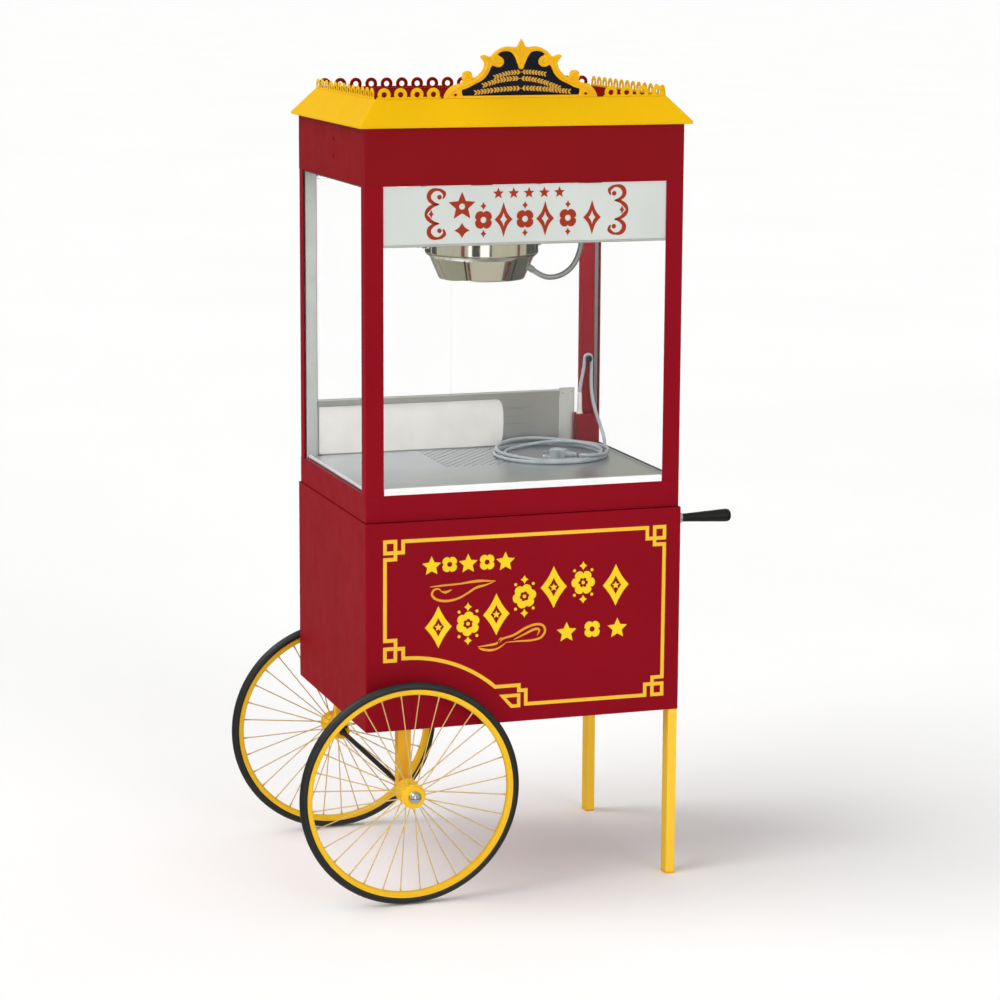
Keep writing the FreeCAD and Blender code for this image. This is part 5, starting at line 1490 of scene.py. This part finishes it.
END = KR + 3.5
p = Piece("kettle_bridge", stainless_x, bright_steel)
p.box(KX - END, KX - 5.4, KY - 7, KY + 7, 1446, 1451, 0.8, 2)
p.box(KX + 5.4, KX + END, KY - 7, KY + 7, 1446, 1451, 0.8, 2)
p.lathe([(5.1, 1445.6), (9.4, 1445.6), (10, 1446.2), (10, 1450.8), (9.4, 1451.2), (5.1, 1451.2)], (KX, KY, 0), "z", 32, 0, True)
for s in (-1, 1):
    a, b = sorted((s * (END - 4.5), s * END))
    p.box(KX + a, KX + b, KY - 7, KY + 7, 1440, 1446.6, 0.5, 2)
    p.lathe([(0, 1451), (3.4, 1451), (3.4, 1452.6), (2.4, 1453.4), (0, 1453.4)], (KX + s * (END - 8.5), KY, 0), "z", 6, 1)
    for t in (-1, 1):
        a, b = sorted((s * 57.0, s * 61.0))
        c, d = sorted((t * 6.0, t * 14.5))
        p.box(KX + a, KX + b, KY + c, KY + d, 1444.5, 1449.5, 0.5, 2)
for t in (-1, 1):
    p.tube([(KX - 61, KY + t * 12, 1447), (KX + 61, KY + t * 12, 1447)], 2.0, 14, 1)
p.done("kettle", ("kettle_crossbar",), "stainless", 35)

for name, s in (("lid_front", -1), ("lid_rear", 1)):
    p = Piece("half_" + name, stainless_polished, bright_steel)
    LR = KR - 3.4
    a0 = math.asin(15.0 / LR)
    arc = [(KX + LR * math.cos(s * (a0 + (math.pi - 2 * a0) * i / 48)), KY + LR * math.sin(s * (a0 + (math.pi - 2 * a0) * i / 48))) for i in range(49)]
    p.plate([arc], "z", 1440.4, 1441.9, 0, 0.4)
    p.tube([(KX + (x - KX) * 0.985, KY + (y - KY) * 0.985, 1441.9) for x, y in arc[1:-1]], 1.1, 8, 0)
    p.tube([(KX - 116, KY + s * 17.0, 1441.9), (KX + 116, KY + s * 17.0, 1441.9)], 1.1, 8, 0)
    for a in (-50, 35):
        if s > 0:
            a = -a - 15
        y0, y1 = sorted((KY + s * 19.0, KY + s * 13.4))
        p.box(KX + a, KX + a + 15, y0, y1, 1440.6, 1446.6, 0.5, 2)
        p.lathe([(2.05, a), (3.6, a), (4, a + 0.5), (4, a + 14.5), (3.6, a + 15), (2.05, a + 15)], (KX, KY + s * 12.0, 1447), "x", 24, 0, True)
    y0, y1 = sorted((KY + s * 120.0, KY + s * 110.0))
    p.box(KX - 12, KX + 12, y0, y1, 1441.5, 1443.2, 0.4, 2, 1)
    y0, y1 = sorted((KY + s * 113.0, KY + s * 110.6))
    p.box(KX - 12, KX + 12, y0, y1, 1442.5, 1448.0, 0.8, 2, 1)
    p.done(name, (name,), "stainless", 35)

p = Piece("gear_motor", aluminium, plastic_black, bright_steel)
p.lathe([(5.1, 1451.2), (9, 1451.2), (9, 1470.4), (5.1, 1470.4)], (KX, KY, 0), "z", 32, 0, True)
p.box(KX - 28, KX + 28, KY - 28, KY + 28, 1470, 1496, 2.2, 3)
for k in range(5):
    p.box(KX - 28.8, KX + 28.8, KY - 28.8, KY + 28.8, 1473 + 4.4 * k, 1474.6 + 4.4 * k, 0.5, 1)
prof = [(0, 1496), (23, 1496), (24, 1497)]
for k in range(5):
    prof += [(24, 1499 + 4 * k), (22.8, 1499.6 + 4 * k), (22.8, 1501 + 4 * k), (24, 1501.6 + 4 * k)]
prof += [(24, 1520), (22.6, 1521.6), (12, 1522), (0, 1522)]
p.lathe(prof, (KX, KY, 0), "z", 48, 1)
for x in (-22, 22):
    for y in (-22, 22):
        p.screw((KX + x, KY + y, 1496), "z", 2.6, 1.6, 2)
p.done("kettle", ("kettle_motor",), "aluminium", 35)

p = Piece("stir_rod", stainless_polished)
p.lathe([(0, 1372.6), (9.4, 1372.6), (10, 1373.2), (10, 1380.2), (9.2, 1381), (5.2, 1381.6), (5, 1383), (5, 1484.4), (4.4, 1485), (0, 1485)], (KX, KY, 0), "z", 32)
p.box(KX - 106, KX + 106, KY - 6, KY + 6, 1373, 1376, 0.7, 2)
p.box(KX - 6, KX + 6, KY - 106, KY + 106, 1373, 1376, 0.7, 2)
for s in (-1, 1):
    a, b = sorted((s * 86.0, s * 106.0))
    p.box(KX + a, KX + b, KY - 1.5, KY + 1.5, 1375.5, 1388, 0.6, 2)
p.done("agitator", ("agitator",), "stainless", 35)

LX = KX - KR - 19.0
lever_m = Matrix.Translation(W(LX, KY, TZ)) @ Matrix.Rotation(rad(8), 4, "X")
p = Piece("tip_lever", stainless_x, plastic_black)
p.lathe([(6.05, -4), (10.4, -4), (11, -3.4), (11, -0.6), (10.4, 0), (6.05, 0)], (0, 0, 0), "x", 32, 0, True, lever_m)
p.box(-4, 0, 8, 104, -6, 6, 0.8, 2, 0, lever_m)
p.lathe([(0, 0), (6, 0), (6.4, 1.5), (7, 4), (9.6, 7.6), (11.4, 11), (12.2, 16), (12.1, 21), (10.6, 26.6), (7.6, 30), (4, 31.6), (0, 32)], (-4, 97, 0), "-x", 32, 1,
        False, lever_m)
p.done("kettle", ("dump_lever",), "stainless", 35)

p = Piece("hanger_arms", stainless_z, bright_steel)
for s in (-1, 1):
    a, b = sorted((KX + s * (KR + 6.5), KX + s * (KR + 10.5)))
    out = [(KY + 13, 1539), (KY - 13, 1539)]
    out += [(KY + 13 * math.cos(t), TZ + 13 * math.sin(t)) for t in [math.pi + math.pi * i / 20 for i in range(21)]]
    p.plate([out, circle(KY, TZ, 6.05, 28)], "x", a, b, 0, 0.5)
    a, b = sorted((KX + s * (KR + 10.5), KX + s * (KR + 34.0)))
    p.box(a, b, KY - 13, KY + 13, 1536, 1539, 0.5, 2)
    p.screw((KX + s * (KR + 22.0), KY, 1536), "-z", 4.0, 2.0, 1)
p.done("frame", ("kettle_hangers",), "stainless", 35)

# lamp in the cabinet ceiling
p = Piece("lamp_and_holder", lamp_glass, ceramic, bright_steel)
c = (-215, -70, 0)
p.lathe([(0, 1521), (10.6, 1521), (11.6, 1517), (12.5, 1510), (15.6, 1503.6), (20, 1497), (24.2, 1490.6), (27.2, 1484), (29.0, 1478), (29.5, 1472), (28.8, 1465.4), (26.6, 1459),
         (23.4, 1453.4), (18.6, 1448.4), (12.4, 1445), (6, 1443.4), (0, 1443)], c, "z", 48, 0)
p.lathe([(0, 1539), (17, 1539), (17, 1531), (16, 1529.6), (15, 1529), (15, 1521), (14, 1519.4), (12.6, 1519), (12.6, 1523), (0, 1523)], c, "z", 40, 1)
p.done("frame", ("cabinet_lamp",), "lamp_glass", 35, False)

# ---------------------------------------------------------------------------
# floor and light
# ---------------------------------------------------------------------------
def studio():
    b = bmesh.new()
    s = 400.0
    n = 40
    vs = [[b.verts.new((-s + 2 * s * i / n, -s + 2 * s * j / n, 0.0)) for j in range(n + 1)] for i in range(n + 1)]
    for i in range(n):
        for j in range(n):
            b.faces.new((vs[i][j], vs[i + 1][j], vs[i + 1][j + 1], vs[i][j + 1]))
    me = bpy.data.meshes.new("studio_floor")
    b.to_mesh(me)
    b.free()
    m = Mat("studio_paper")
    m.set(Specular_IOR_Level=0.1)
    col = m.mix(m.span(m.noise(0.6, 2.0), 0.0, 1.0), (0.965, 0.965, 0.965), (0.98, 0.98, 0.98))
    r = m.span(m.noise(3.0, 2.0), 0.75, 0.9)
    me.materials.append(m.done(col, r))
    floor = bpy.data.objects.new("studio_floor", me)
    bpy.context.scene.collection.objects.link(floor)
    floor.visible_glossy = False

    # pale above, dim round the horizon, and the pale floor's own tone far below it
    w = bpy.data.worlds.new("studio")
    w.use_nodes = True
    bpy.context.scene.world = w
    nt = w.node_tree
    bg = nt.nodes["Background"]
    tc = nt.nodes.new("ShaderNodeTexCoord")
    sx = nt.nodes.new("ShaderNodeSeparateXYZ")
    mr = nt.nodes.new("ShaderNodeMapRange")
    cr = nt.nodes.new("ShaderNodeValToRGB")
    nt.links.new(tc.outputs["Generated"], sx.inputs[0])
    nt.links.new(sx.outputs["Z"], mr.inputs["Value"])
    mr.inputs["From Min"].default_value, mr.inputs["From Max"].default_value = -1.0, 1.0
    nt.links.new(mr.outputs["Result"], cr.inputs[0])
    stops = [(0.0, (0.54, 0.525, 0.46)), (0.24, (0.52, 0.505, 0.44)), (0.34, (0.10, 0.10, 0.10)), (0.48, (0.10, 0.10, 0.10)), (0.54, (0.52, 0.52, 0.52)), (1.0, (0.52, 0.52, 0.52))]
    e = cr.color_ramp.elements
    e[0].position, e[0].color = stops[0][0], (*stops[0][1], 1.0)
    e[1].position, e[1].color = stops[-1][0], (*stops[-1][1], 1.0)
    for at, c in stops[1:-1]:
        n = e.new(at)
        n.color = (*c, 1.0)
    nt.links.new(cr.outputs[0], bg.inputs[0])
    bg.inputs[1].default_value = 1.0

    def sun(name, frm, strength, angle, colour=(1, 1, 1)):
        d = bpy.data.lights.new(name, "SUN")
        d.energy, d.angle, d.color = strength, rad(angle), colour
        o = bpy.data.objects.new(name, d)
        bpy.context.scene.collection.objects.link(o)
        o.rotation_mode = "QUATERNION"
        o.rotation_quaternion = (-Vector(frm)).to_track_quat("-Z", "Y")

    sun("key", (-0.90, 0.02, 0.95), 1.95, 56, (1.0, 0.995, 0.985))
    sun("front", (0.22, -1.0, 0.30), 0.80, 30)

    # the machine's own light under its ceiling
    d = bpy.data.lights.new("ceiling_glow", "AREA")
    d.shape, d.size, d.size_y, d.energy, d.color = "RECTANGLE", 0.56, 0.36, 2.6, (1.0, 0.985, 0.95)
    o = bpy.data.objects.new("ceiling_glow", d)
    o.location = W(0, -20, 1533)
    o.visible_camera = o.visible_glossy = False
    bpy.context.scene.collection.objects.link(o)

    # walls of the set, which only mirror-like metal picks up
    view = math.atan2(math.cos(rad(18.5)), math.sin(rad(18.5)))

    def shade(name, c, k):
        m = Mat(name)
        m.set(Specular_IOR_Level=0.0, Base_Color=(0.0, 0.0, 0.0), Roughness=1.0, Emission_Strength=k)
        m.link(m.mix(m.span(m.noise(1.2, 2.0), 0.0, 1.0), tuple(v * 0.9 for v in c), tuple(min(1.0, v * 1.08) for v in c)), m.b.inputs["Emission Color"])
        return m.done()

    wall = shade("studio_wall", (0.46, 0.46, 0.36), 1.0)
    dark = shade("studio_flag", (0.020, 0.020, 0.017), 1.0)
    side = shade("studio_side", (0.22, 0.22, 0.22), 1.0)
    pale = shade("studio_strip_box", (1.0, 1.0, 0.97), 1.5)

    def card(name, a0, a1, z0, z1, mat, r=5.0):
        b = bmesh.new()
        n = max(2, int(abs(a1 - a0) / 4))
        row = []
        for i in range(n + 1):
            t = view + rad(a0 + (a1 - a0) * i / n)
            row.append((b.verts.new((r * math.cos(t), r * math.sin(t), z0)), b.verts.new((r * math.cos(t), r * math.sin(t), z1))))
        for (a, c), (d, e) in zip(row, row[1:]):
            b.faces.new((a, d, e, c))
        me = bpy.data.meshes.new(name)
        b.to_mesh(me)
        b.free()
        me.materials.append(mat)
        o = bpy.data.objects.new(name, me)
        bpy.context.scene.collection.objects.link(o)
        o.visible_camera = o.visible_diffuse = o.visible_shadow = o.visible_transmission = False

    def sheet(name, x0, x1, y0, y1, mat):
        b = bmesh.new()
        b.faces.new([b.verts.new((x, y, 0.003)) for x, y in ((x0, y0), (x1, y0), (x1, y1), (x0, y1))])
        me = bpy.data.meshes.new(name)
        b.to_mesh(me)
        b.free()
        me.materials.append(mat)
        o = bpy.data.objects.new(name, me)
        bpy.context.scene.collection.objects.link(o)
        o.visible_camera = o.visible_diffuse = o.visible_shadow = o.visible_transmission = False

    sheet("studio_sheet_left", -6.0, -0.9, -1.6, 6.0, shade("studio_olive", (0.30, 0.31, 0.235), 1.0))
    sheet("studio_sheet_right", 1.0, 6.0, -1.6, 6.0, shade("studio_dim", (0.085, 0.088, 0.075), 1.0))

    turns = [(-16, wall), (16, side), (78, wall), (154, pale), (161, dark), (178, pale), (196, dark), (201, wall), (282, side), (344, None)]
    for i, ((a0, mat), (a1, _)) in enumerate(zip(turns, turns[1:])):
        if mat is side:
            card("studio_card_%02d_low" % i, a0, a1, -1.0, 0.74, side)
            card("studio_card_%02d_mid" % i, a0, a1, 0.74, 1.02, dark)
            card("studio_card_%02d_top" % i, a0, a1, 1.02, 4.2, side)
        else:
            card("studio_card_%02d" % i, a0, a1, -1.0, 4.2, mat)

    sc = bpy.context.scene
    sc.view_settings.view_transform = "Standard"
    sc.view_settings.look = "None"


studio()
